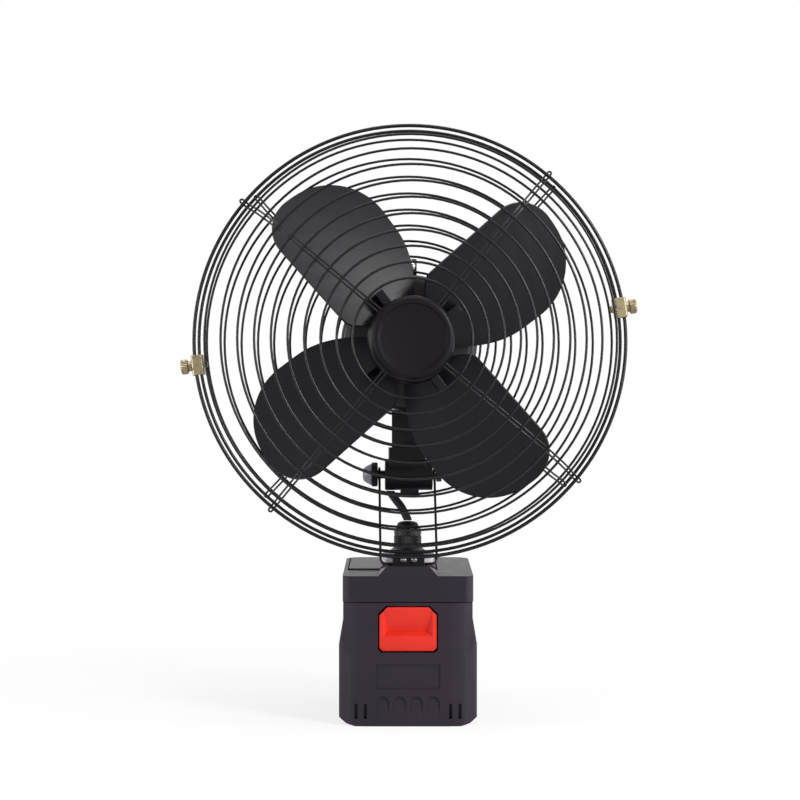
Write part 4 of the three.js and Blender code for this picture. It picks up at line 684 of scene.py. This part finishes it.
def centre_badge():
    spoke_front = front_dome(0) + RING_WIRE / 2 - WELD - BADGE_AHEAD
    back = spoke_front - GAP
    front = back - BADGE_T
    clamp = spoke_front + SPOKE_WIRE + GAP
    outline = [
        (0, front + BADGE_DISH),
        (BADGE_DISH_R - 1.2, front + BADGE_DISH),
        (BADGE_DISH_R - 0.5, front + 0.9),
        (BADGE_DISH_R, front + 0.15),
        (BADGE_DISH_R + 0.4, front),
        (BADGE_R - 2.2, front + 0.05),
        (BADGE_R - 1.1, front + 0.45),
        (BADGE_R - 0.35, front + 1.3),
        (BADGE_R, front + 2.6),
        (BADGE_R, back - 0.3),
        (BADGE_R - 0.3, back),
        (BADGE_POST_R, back),
        (BADGE_POST_R, clamp),
        (CLAMP_R, clamp),
        (CLAMP_R, clamp + CLAMP_T),
        (0, clamp + CLAMP_T),
    ]
    bm = turned(outline, Y_AXIS, FAN_CENTRE, 96)
    finished(bm, "centre_badge", "head", BADGE, "guard_cap", HEAD, "case_plastic")


centre_badge()


# --------------------------------------------------------------------- rotor


def round_tip(s, width, corner):
    """How far an edge lies from the blade's middle line, round at the tip."""
    start = BLADE_TIP_R - corner
    if s <= start:
        return width
    rise = min(1.0, (s - start) / corner)
    return width - corner + corner * math.sqrt(1 - rise * rise)


def drawn_in(s, full_r, depth):
    """How far an edge is drawn in towards the root."""
    share = min(1.0, (s - BLADE_START_R) / (full_r - BLADE_START_R))
    return depth * (1 - share) ** 2


def blade_edges(s):
    """Where the leading and the trailing edge lie across the blade at radius s."""
    trail_w = BLADE_TRAIL_W - BLADE_TRAIL_TAPER * (BLADE_TIP_R - s)
    return (
        drawn_in(s, LEAD_FULL_R, LEAD_ROOT_IN) - round_tip(s, BLADE_LEAD_W, LEAD_CORNER),
        round_tip(s, trail_w, TRAIL_CORNER) - drawn_in(s, TRAIL_FULL_R, TRAIL_ROOT_IN),
    )


def blade_surface(s, x):
    """The blade's face: cambered, and pitched less towards the tip."""
    share = min(1.0, max(0.0, (s - HUB_R) / (BLADE_TIP_R - HUB_R)))
    pitch = BLADE_ROOT_PITCH + (BLADE_TIP_PITCH - BLADE_ROOT_PITCH) * share
    camber = BLADE_CAMBER * (1 - (x / BLADE_LEAD_W) ** 2)
    return BLADE_MID_Y - x * math.tan(math.radians(pitch)) + camber


def blade():
    """One blade along +X, its leading edge towards -Z and the rear."""
    bm = bmesh.new()
    bmesh.ops.create_grid(bm, x_segments=44, y_segments=22, size=1)
    for vert in bm.verts:
        u = (vert.co.x + 1) / 2
        v = (vert.co.y + 1) / 2
        share = 1 - (1 - u) ** 1.6  # closer together towards the tip
        s = BLADE_START_R + (BLADE_TIP_R - BLADE_START_R) * share
        low, high = blade_edges(s)
        across = (0.5 - 0.5 * math.cos(math.pi * v)) ** 0.9  # and towards both edges
        x = low + (high - low) * across
        vert.co = Vector((s, blade_surface(s, x) - BLADE_PLATE / 2, FAN_Z + x))
    bmesh.ops.recalc_face_normals(bm, faces=bm.faces)
    if sum(face.normal.y for face in bm.faces) > 0:
        bmesh.ops.reverse_faces(bm, faces=bm.faces)
    bmesh.ops.solidify(bm, geom=bm.faces[:], thickness=BLADE_PLATE)
    return bm


def hub_shell():
    front = HUB_FRONT_Y
    back = front + HUB_DEPTH
    boss_end = back - 3
    inner = HUB_R - HUB_WALL
    bore = SHAFT_R + GAP
    outline = [
        (bore, boss_end),
        (bore, front),
        (HUB_R - 5.5, front),
        (HUB_R - 3.2, front + 0.35),
        (HUB_R - 1.4, front + 1.3),
        (HUB_R - 0.4, front + 2.9),
        (HUB_R, front + 5),
        (HUB_R, back - 0.4),
        (HUB_R - 0.4, back),
        (inner, back),
        (inner, front + HUB_WALL),
        (HUB_BOSS_R, front + HUB_WALL),
        (HUB_BOSS_R, boss_end),
        (bore, boss_end),
    ]
    shell = turned(outline, Y_AXIS, FAN_CENTRE, 96)
    bmesh.ops.recalc_face_normals(shell, faces=shell.faces)
    return shell


def root_ribs():
    """A block on each blade's root: flat in front, and the blade's slope behind."""
    ribs = bmesh.new()
    front = HUB_FRONT_Y + RIB_SETBACK
    low = FAN_Z - RIB_SHIFT - RIB_W / 2
    start_r = HUB_R - HUB_WALL
    high = (RIB_END_R, front + RIB_T, low + RIB_W)
    rounded_box(ribs, (start_r, front, low), high, radius=0.6)
    for vert in ribs.verts:
        if vert.co.y > front + RIB_T / 2:
            vert.co.y = blade_surface(vert.co.x, vert.co.z - FAN_Z)
    return around(ribs, BLADES, BLADE_CENTRE_ANGLE)


def fan_rotor():
    bm = around(blade(), BLADES, BLADE_CENTRE_ANGLE)
    add_to(bm, hub_shell())
    add_to(bm, root_ribs())
    finished(
        bm, "four_blade_rotor", "rotor", BLADE, "fan_rotor", HEAD, "blade",
        bevel=0.45, sharp=40,
    )


fan_rotor()


# --------------------------------------------------------------------- motor


def motor_shell():
    front = MOTOR_FRONT_Y
    back = front + MOTOR_WALL
    outline = [
        (MOTOR_MOUTH_R, back),
        (MOTOR_MOUTH_R, front),
        (MOTOR_R - 6, front),
        (MOTOR_R - 3.2, front + 0.5),
        (MOTOR_R - 1.2, front + 1.9),
        (MOTOR_R - 0.2, front + 4),
        (MOTOR_R, front + 6),
        (MOTOR_R, MOTOR_REAR_Y - 3.2),
        (MOTOR_R - 0.5, MOTOR_REAR_Y - 2.8),
        (MOTOR_R - 0.5, MOTOR_REAR_Y - 1.6),
        (MOTOR_R, MOTOR_REAR_Y - 1.2),
        (MOTOR_R, MOTOR_REAR_Y),
        (MOTOR_R - MOTOR_WALL, MOTOR_REAR_Y),
        (MOTOR_R - MOTOR_WALL, back),
        (MOTOR_MOUTH_R, back),
    ]
    bm = turned(outline, Y_AXIS, FAN_CENTRE, 128)
    lug = bmesh.new()
    rounded_box(
        lug,
        (MOTOR_R - 1, LUG_FACE_Y, FAN_Z - LUG_HALF_W),
        (LUG_END_R, LUG_FACE_Y + MOTOR_WALL, FAN_Z + LUG_HALF_W),
        radius=0.8,
    )
    add_to(bm, around(lug, len(GUARD_SCREW_ANGLES), GUARD_SCREW_ANGLES[0]))
    finished(bm, "motor_shell", "head", PAINT, "motor_housing", HEAD, "black_paint")


def motor_back():
    face = MOTOR_REAR_Y + GAP
    back = face + COVER_BULGE
    outline = [
        (0, back - 0.8),
        (9.5, back - 0.8),
        (10, back),
        (MOTOR_R - 11, back),
        (MOTOR_R - 7, back - 0.4),
        (MOTOR_R - 3.2, back - 1.5),
        (MOTOR_R - 1.2, back - 3),
        (MOTOR_R - 0.2, back - 4.4),
        (MOTOR_R, face),
        (MOTOR_R - 4, face),
        (MOTOR_R - 6, face + 2.2),
        (0, face + 2.6),
    ]
    bm = turned(outline, Y_AXIS, FAN_CENTRE, 128)
    finished(bm, "motor_back", "head", PAINT, "motor_rear_cover", HEAD, "black_paint")


motor_shell()
motor_back()


def pan_screw(centre, along, size, crossed):
    """A domed head on a plain stem; along points out of the head."""
    radius, height, stem_r, stem_l = size
    dome = [
        (0, height),
        (radius * 0.45, height * 0.97),
        (radius * 0.75, height * 0.8),
        (radius * 0.94, height * 0.48),
        (radius, height * 0.12),
        (radius, 0),
        (stem_r, 0),
        (stem_r, -stem_l),
        (0, -stem_l),
    ]
    bm = turned(dome, Z_AXIS, ORIGIN, 32)
    bmesh.ops.recalc_face_normals(bm, faces=bm.faces)
    if crossed:
        cross_recess(bm, radius * CROSS_REACH, height * CROSS_DEPTH)
    turn = along.to_track_quat("Z", "Y").to_matrix().to_4x4()
    place = Matrix.Translation(centre) @ turn
    bmesh.ops.transform(bm, matrix=place, verts=bm.verts)
    return bm


def cross_recess(head, reach, depth):
    """Marks a cross on top of a screw's head with cutting planes and sinks it."""
    width = reach * CROSS_WIDTH
    for axis in (X_AXIS, Y_AXIS):
        for offset in (-reach, -width, width, reach):
            bmesh.ops.bisect_plane(
                head,
                geom=head.verts[:] + head.edges[:] + head.faces[:],
                dist=1e-5,
                plane_co=axis * offset,
                plane_no=axis,
            )
    cross = []
    for face in head.faces:
        middle = face.calc_center_median()
        across = (abs(middle.x), abs(middle.y))
        if middle.z > depth and min(across) < width and max(across) < reach:
            cross.append(face)
    sunk = bmesh.ops.extrude_face_region(head, geom=cross)
    moved = [one for one in sunk["geom"] if isinstance(one, bmesh.types.BMVert)]
    bmesh.ops.translate(head, verts=moved, vec=(0, 0, -depth))


def screw(kind, which, body, centre, along, size, place, material):
    bm = pan_screw(centre, along, size, crossed=True)
    name = f"{kind}_bolt_{which}"
    node = f"{kind}_screw_{which}"
    finished(bm, name, body, material, node, place, "steel", sharp=35)


for number, degrees in enumerate(GUARD_SCREW_ANGLES, 1):
    a = math.radians(degrees)
    x = GUARD_SCREW_R * math.cos(a)
    y = LUG_FACE_Y - RING_WIRE - 2 * GAP
    z = FAN_Z + GUARD_SCREW_R * math.sin(a)
    screw("guard", number, "head", (x, y, z), -Y_AXIS, GUARD_SCREW, HEAD, STEEL)

for number, z in enumerate(BRACKET_SCREWS_Z, 1):
    y = MOTOR_REAR_Y + COVER_BULGE + 2 * GAP + BRACKET_T + GAP
    screw("bracket", number, "head", (0, y, z), Y_AXIS, BRACKET_SCREW, HEAD, STEEL)

for side, which in ((-1, "left"), (1, "right")):
    seat = (
        side * SADDLE_SCREW_X,
        YOKE_FRONT_Y + YOKE_WIRE / 2 - SADDLE_T - GAP,
        SADDLE_SCREW_Z,
    )
    screw("saddle", which, "yoke", seat, -Y_AXIS, SADDLE_SCREW, SWIVEL, DULL_STEEL)


# --------------------------------------------------------------------- clips


def clip_nut():
    """The knurled nut outside the rims, drawn along +X."""
    start = NUT_START_X
    end = NUT_END_X
    bore = CLIP_SCREW_R + GAP
    centre = Vector((0, CLIP_SCREW_Y, FAN_Z))
    outline = [
        (bore, end - 1.4),
        (bore, start),
        (WING_R - 1.6, start),
        (WING_R - 1.4, start + 0.3),
        (WING_R - 1.4, start + 1.9),
        (WING_R - 0.4, start + 2.2),
        (WING_R, start + 2.7),
        (WING_R, end - 0.9),
        (WING_R - 0.6, end - 0.25),
        (WING_R - 1.4, end),
        (0, end),
        (0, end - 1.0),
        (bore, end - 1.4),
    ]
    bm = turned(outline, X_AXIS, centre, WING_STEPS)
    for vert in bm.verts:
        arm = Vector((0, vert.co.y - CLIP_SCREW_Y, vert.co.z - FAN_Z))
        if start + 2.5 < vert.co.x < end - 0.8 and arm.length > WING_R - 0.1:
            step = round(math.atan2(arm.z, arm.y) / (math.tau / WING_STEPS))
            if step % 2:
                vert.co -= arm.normalized() * WING_KNURL
    return bm


def clip_bolt():
    """The screw through both strips, its head inside the rims."""
    start = CLIP_INNER_R - CLIP_T - GAP
    size = (*CLIP_HEAD, CLIP_SCREW_R, NUT_END_X - 1.3 - start)
    return pan_screw((start, CLIP_SCREW_Y, FAN_Z), -X_AXIS, size, crossed=False)


for side, degrees in zip(("right", "left"), CLIP_ANGLES):
    rounded_copy(f"guard_clip_{side}", f"clip_strip_{side}", "head", BRASS, 0.25, "brass")
    nut = clip_nut()
    turn_to(nut, degrees)
    finished(nut, f"knurled_nut_{side}", "head", BRASS, f"clip_nut_{side}", HEAD, "brass")
    bolt = clip_bolt()
    turn_to(bolt, degrees)
    finished(bolt, f"clip_bolt_{side}", "head", BRASS, f"clip_screw_{side}", HEAD, "brass")


# ------------------------------------------------------------ yoke and swivel


def yoke():
    """The bail: an eye, a leg, a rounded corner, the bar, and the same back up."""
    half = YOKE_W / 2
    rise = Vector((0, TILT_Y - YOKE_FRONT_Y, TILT_Z - YOKE_LOW_Z))
    up = rise.normalized()
    leg_end = rise.length - EYE_R
    route = []
    for side in (-1, 1):
        foot = Vector((side * half, YOKE_FRONT_Y, YOKE_LOW_Z))
        top = foot + up * leg_end
        bend_start = foot + up * YOKE_BEND_R
        bend_end = foot - X_AXIS * side * YOKE_BEND_R
        stretch = [top, (top + bend_start) / 2]
        for i in range(YOKE_BEND_STEPS + 1):
            t = i / YOKE_BEND_STEPS
            stretch.append(
                bend_start * (1 - t) ** 2 + foot * 2 * t * (1 - t) + bend_end * t * t
            )
        route += stretch if side < 0 else stretch[::-1]
    bm = bmesh.new()
    bent_wire(bm, route, YOKE_WIRE, rounding=5)
    angles = [math.tau * i / EYE_STEPS for i in range(EYE_STEPS)]
    for side in (-1, 1):
        eye = [
            (side * half, TILT_Y + EYE_R * math.cos(a), TILT_Z + EYE_R * math.sin(a))
            for a in angles
        ]
        bent_wire(bm, eye, YOKE_WIRE, closed=True, rounding=5)
    finished(
        bm, "yoke_bail", "yoke", WIRE, "yoke_wire", SWIVEL, "wire", sharp=WIRE_SHARP_ANGLE
    )


yoke()


def neck():
    """The turned neck: a skirt with a lip, a knurled barrel and a collar above it."""
    top = NECK_TOP_Z
    outline = [
        (NECK_BORE_R, top - NECK_BORE_L),
        (POST_BORE_R, top - NECK_BORE_L),
        (POST_BORE_R, SKIRT_Z),
        (SKIRT_R - 0.3, SKIRT_Z),
        (SKIRT_R, SKIRT_Z + 0.3),
        (SKIRT_R, SKIRT_Z + 0.8),
        (SKIRT_R - 0.4, SKIRT_Z + 1.1),
        (SKIRT_R - 3.2, SKIRT_Z + 1.9),
        (SKIRT_R - 5.4, SKIRT_Z + 3.0),
        (NECK_R + 0.7, NECK_Z - 0.7),
        (NECK_R + 0.2, NECK_Z - 0.2),
        (NECK_R, NECK_Z + 0.4),
        (NECK_R, NECK_GROOVE_Z),
        (NECK_R - 0.45, top - 4.1),
        (NECK_R - 0.45, top - 3.7),
        (NECK_R, top - 3.5),
        (NECK_R, top - 0.5),
        (NECK_R - 0.5, top),
        (NECK_BORE_R, top),
        (NECK_BORE_R, top - NECK_BORE_L),
    ]
    bm = turned(outline, Z_AXIS, ORIGIN, NECK_STEPS)
    for vert in bm.verts:
        arm = Vector((vert.co.x, vert.co.y, 0))
        knurled = NECK_Z + 0.3 < vert.co.z < NECK_GROOVE_Z + 0.05
        if knurled and arm.length > NECK_R - 0.1:
            step = round(math.atan2(arm.y, arm.x) / (math.tau / NECK_STEPS))
            if step % 2:
                vert.co -= arm.normalized() * KNURL
    lug = bmesh.new()
    rounded_box(lug, *NECK_LUG, radius=0.5)
    add_to(bm, lug)
    finished(bm, "turned_neck", "yoke", PAINT, "swivel_neck", SWIVEL, "black_paint")


neck()


def cap():
    low = NECK_TOP_Z + GAP
    outline = [
        (0, low),
        (CAP_R - 0.2, low),
        (CAP_R, low + 0.2),
        (CAP_R, low + CAP_H * 0.34),
        (CAP_R * 0.985, low + CAP_H * 0.52),
        (CAP_R * 0.93, low + CAP_H * 0.7),
        (CAP_R * 0.83, low + CAP_H * 0.85),
        (CAP_R * 0.7, low + CAP_H * 0.95),
        (CAP_R * 0.55, low + CAP_H),
        (0, low + CAP_H),
    ]
    bm = turned(outline, Z_AXIS, ORIGIN, 64)
    finished(bm, "domed_cap", "yoke", BADGE, "neck_cap", SWIVEL, "case_plastic")


cap()


def smooth_route(stops, steps):
    """A smooth curve through every stop, in so many steps from one to the next."""
    ends = [2 * stops[0] - stops[1], *stops, 2 * stops[-1] - stops[-2]]
    route = []
    for a, b, c, d in zip(ends, ends[1:], ends[2:], ends[3:]):
        bend = 2 * a - 5 * b + 4 * c - d
        twist = 3 * b - a - 3 * c + d
        for i in range(steps):
            t = i / steps
            route.append((2 * b + (c - a) * t + bend * t * t + twist * t**3) / 2)
    return [*route, stops[-1]]


def lead():
    """The motor's lead between the neck cap and the tilt block."""
    low = NECK_TOP_Z + GAP + CAP_H + 2 * GAP
    high = TILT_Z - BARREL_D / 2 - 2 * GAP
    reach = high - low
    stops = [
        (0, 0, low),
        (-0.1, 0.1, low + 0.05 * reach),
        (-1.1, 1.2, low + 0.17 * reach),
        (-3.6, 4.6, low + 0.45 * reach),
        (-7.4, 9.2, low + 0.74 * reach),
        (-LEAD_OFFSET + 0.1, TILT_Y - 0.3, low + 0.93 * reach),
        (-LEAD_OFFSET, TILT_Y, high),
    ]
    route = smooth_route([Vector(stop) for stop in stops], 6)
    bm = bmesh.new()
    bent_wire(bm, route, LEAD_D, rounding=6)
    finished(
        bm, "lead_run", "yoke", SLEEVE, "motor_lead", SWIVEL, "lead", sharp=WIRE_SHARP_ANGLE
    )


lead()


def knob():
    """A ridged grip, and a paler domed end beyond its shoulder."""
    near = -(YOKE_W / 2 + YOKE_WIRE / 2 + GAP)
    end = near - KNOB_L
    shoulder = near - KNOB_GRIP_L
    bore = SHAFT_R + GAP
    centre = Vector((0, TILT_Y, TILT_Z))
    outline = [
        (bore, end + 1.7),
        (bore, near),
        (KNOB_R - 0.6, near),
        (KNOB_R, near - 0.5),
        (KNOB_R, shoulder + 0.3),
        (KNOB_R - 0.3, shoulder),
        (KNOB_R - 0.9, shoulder - 0.1),
        (KNOB_R - 0.9, shoulder - 0.8),
        (KNOB_R - 1.2, shoulder - 1.3),
        (KNOB_R - 1.9, shoulder - 2.6),
        (KNOB_R - 3.1, end + 0.9),
        (KNOB_R - 4.2, end + 0.2),
        (KNOB_R - 5.2, end),
        (0, end),
        (0, end + 1.7),
        (bore, end + 1.7),
    ]
    steps = 4 * KNOB_RIDGES  # two of each four stand proud
    bm = turned(outline, X_AXIS, centre, steps)
    for vert in bm.verts:
        arm = Vector((0, vert.co.y - TILT_Y, vert.co.z - TILT_Z))
        if arm.length > KNOB_R - 0.1:
            turn = round(math.atan2(arm.z, arm.y) / (math.tau / steps))
            if turn % 4 >= 2:
                vert.co -= arm.normalized() * KNOB_RIDGE
    for face in bm.faces:
        if face.calc_center_median().x < shoulder - 0.3:
            face.material_index = 1
    finished(
        bm, "ridged_knob", "tilt_knob", [PLAIN_BLACK, KNOB_END], "tilt_knob", SWIVEL,
        "case_plastic",
    )


knob()


# -------------------------------------------------- rounded copies of solids

# Node, piece, body, finish, width of the rounding, slot and the box that stays square
ROUNDED = [
    ("release_latch", "red_latch", "latch", LATCH, 0.8, "latch_red"),
    ("battery_lower_case", "lower_case_shell", "battery", CASE, 0.7, "case_plastic"),
    ("battery_upper_case", "upper_case_shell", "battery", CASE, 0.5, "case_plastic"),
    (
        "adapter_housing", "adapter_shell", "adapter", ADAPTER, 0.6, "adapter_plastic",
        RAIL_SLOT,
    ),
    ("adapter_top_cover", "adapter_lid", "adapter", ADAPTER, 0.4, "adapter_plastic"),
    ("speed_switch", "switch_frame", "adapter", PLAIN_BLACK, 0.3, "case_plastic"),
    ("switch_rocker", "switch_key", "rocker", PLAIN_BLACK, 0.35, "case_plastic"),
    ("nylon_block", "white_block", "yoke", NYLON, 0.3, "nylon"),
    ("wire_saddle", "saddle_plate", "yoke", PAINT, 0.25, "black_paint"),
    ("tilt_block", "tilt_barrel", "head", PLAIN_BLACK, 0.5, "case_plastic"),
    ("tilt_bracket", "bracket_strap", "head", PAINT, 0.3, "black_paint"),
    ("tilt_bolt", "tilt_pin", "yoke", PAINT, 0.25, "wire"),
]
for rounding in ROUNDED:
    rounded_copy(*rounding)


def proud_front_edge(lid):
    """Lifts the front of the adapter's lid, so that its seam shows."""
    for vert in lid.data.vertices:
        if vert.co.y < LID_FRONT_Y * MM and vert.co.z > LID_LOW_Z * MM:
            vert.co.z += LID_PROUD * MM


proud_front_edge(bpy.data.objects["adapter_lid"])

# Solids that are right as they are, most of them inside the housings
CELLS = 10
PLAIN_NODES = {
    "cell_holder": PLAIN_BLACK,
    "battery_board": BOARD,
    "control_board": BOARD,
    "battery_terminals": PLAIN_BLACK,
    "latch_spring": STEEL,
    "adapter_contacts": CONTACT,
    "swivel_post": STEEL,
    "post_nut": STEEL,
    "motor_magnet": FERRITE,
    "front_bearing": STEEL,
    "rear_bearing": STEEL,
    "fan_shaft": STEEL,
    "armature": WINDING,
    "hub_nut": STEEL,
}
PLAIN_NODES.update({f"battery_cell_{i}": WRAP for i in range(1, CELLS + 1)})
for node, material in PLAIN_NODES.items():
    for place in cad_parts[node].material_slots:
        place.material = material

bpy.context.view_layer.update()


# ------------------------------------------------------------- studio, camera

# Places and sizes in metres, the camera's tilt in degrees and its lens in millimetres
CAMERA_AT = Vector((-0.0046, -1.256, 0.206))
CAMERA_DOWN = 0.876
LENS = 94.2
FILL_LIGHT = 0.12
FILL_COLOUR = (0.96, 0.97, 1, 1)
FLOOR_COLOUR = (0.9, 0.9, 0.9, 1)
FLOOR_HALF_W = 4
FLOOR_NEAR = 0.06  # from the middle; the floor grows whiter from here out,
FLOOR_FADE = 0.45  # and from here out it is plain white
FLOOR_NEAR_WHITE = 0.8  # share of white in the middle

# Name, place, the height aimed at, width, height, and power in watts
SOFTBOXES = [
    ("top_box", (0.0, -0.1, 1.35), 0.1, 0.9, 0.8, 9),
    ("key_box", (0.90, -0.85, 0.80), 0.2, 0.32, 0.32, 15),
    ("left_box", (-1.3, -0.3, 0.3), 0.1, 0.35, 0.7, 8),
    ("right_box", (1.3, -0.2, 0.25), 0.1, 0.35, 0.6, 8),
    ("left_strip", (-0.85, -1.1, 0.2), 0.1, 0.14, 0.7, 4.5),
    ("right_strip", (0.9, -1.1, 0.2), 0.1, 0.16, 0.7, 8),
]


def softbox(name, at, aim_z, width, height, power):
    light = bpy.data.lights.new(name, "AREA")
    light.shape = "RECTANGLE"
    light.size = width
    light.size_y = height
    light.energy = power
    lamp = bpy.data.objects.new(name, light)
    lamp.location = at
    aim = Vector((0, 0, aim_z)) - Vector(at)
    lamp.rotation_euler = aim.to_track_quat("-Z", "Y").to_euler()
    bpy.context.collection.objects.link(lamp)


def seen_white(network, lit, share):
    """The lit shader, with plain white over it for rays that show a background."""
    rays = network.node("ShaderNodeLightPath").socket.node
    shown = 0.0
    for name in ("Is Camera Ray", "Is Glossy Ray", "Is Transmission Ray"):
        shown = Signal(network, rays.outputs[name]) + shown
    white = network.node(
        "ShaderNodeEmission", sockets={"Color": (1, 1, 1, 1), "Strength": 1.0}
    )
    return network.node(
        "ShaderNodeMixShader", sockets={0: shown * share, 1: lit, 2: white}
    )


def floor_material():
    """Pale floor that keeps the fan's shadow and is plain white further out."""
    material = bpy.data.materials.new("studio_floor")
    material.use_nodes = True
    network = Network(material.node_tree)
    cloth = network.node("ShaderNodeBsdfDiffuse", sockets={"Color": FLOOR_COLOUR})
    place = network.node("ShaderNodeTexCoord", output="Object")
    reach = network.node(
        "ShaderNodeVectorMath", {"operation": "LENGTH"}, {0: place}, output="Value"
    )
    far = network.node(
        "ShaderNodeMapRange",
        {"interpolation_type": "SMOOTHSTEP"},
        {"Value": reach, 1: FLOOR_NEAR, 2: FLOOR_FADE, 3: FLOOR_NEAR_WHITE, 4: 1.0},
    )
    network.node("ShaderNodeOutputMaterial", sockets={0: seen_white(network, cloth, far)})
    return material


def studio():
    bm = bmesh.new()
    bmesh.ops.create_grid(bm, x_segments=1, y_segments=1, size=FLOOR_HALF_W)
    mesh = bpy.data.meshes.new("studio_floor")
    bm.to_mesh(mesh)
    bm.free()
    mesh.materials.append(floor_material())
    floor = bpy.data.objects.new("studio_floor", mesh)
    bpy.context.collection.objects.link(floor)

    world = bpy.data.worlds.new("studio_light")
    bpy.context.scene.world = world
    world.use_nodes = True
    network = Network(world.node_tree)
    fill = network.node(
        "ShaderNodeBackground", sockets={"Color": FILL_COLOUR, "Strength": FILL_LIGHT}
    )
    network.node("ShaderNodeOutputWorld", sockets={0: seen_white(network, fill, 1.0)})

    for row in SOFTBOXES:
        softbox(*row)


def camera():
    data = bpy.data.cameras.new("camera")
    data.lens = LENS
    data.clip_start = 0.05
    eye = bpy.data.objects.new("camera", data)
    eye.location = CAMERA_AT
    eye.rotation_euler = (math.radians(90 - CAMERA_DOWN), 0, 0)
    bpy.context.collection.objects.link(eye)
    bpy.context.scene.camera = eye


studio()
camera()
bpy.context.scene.view_settings.view_transform = "Standard"
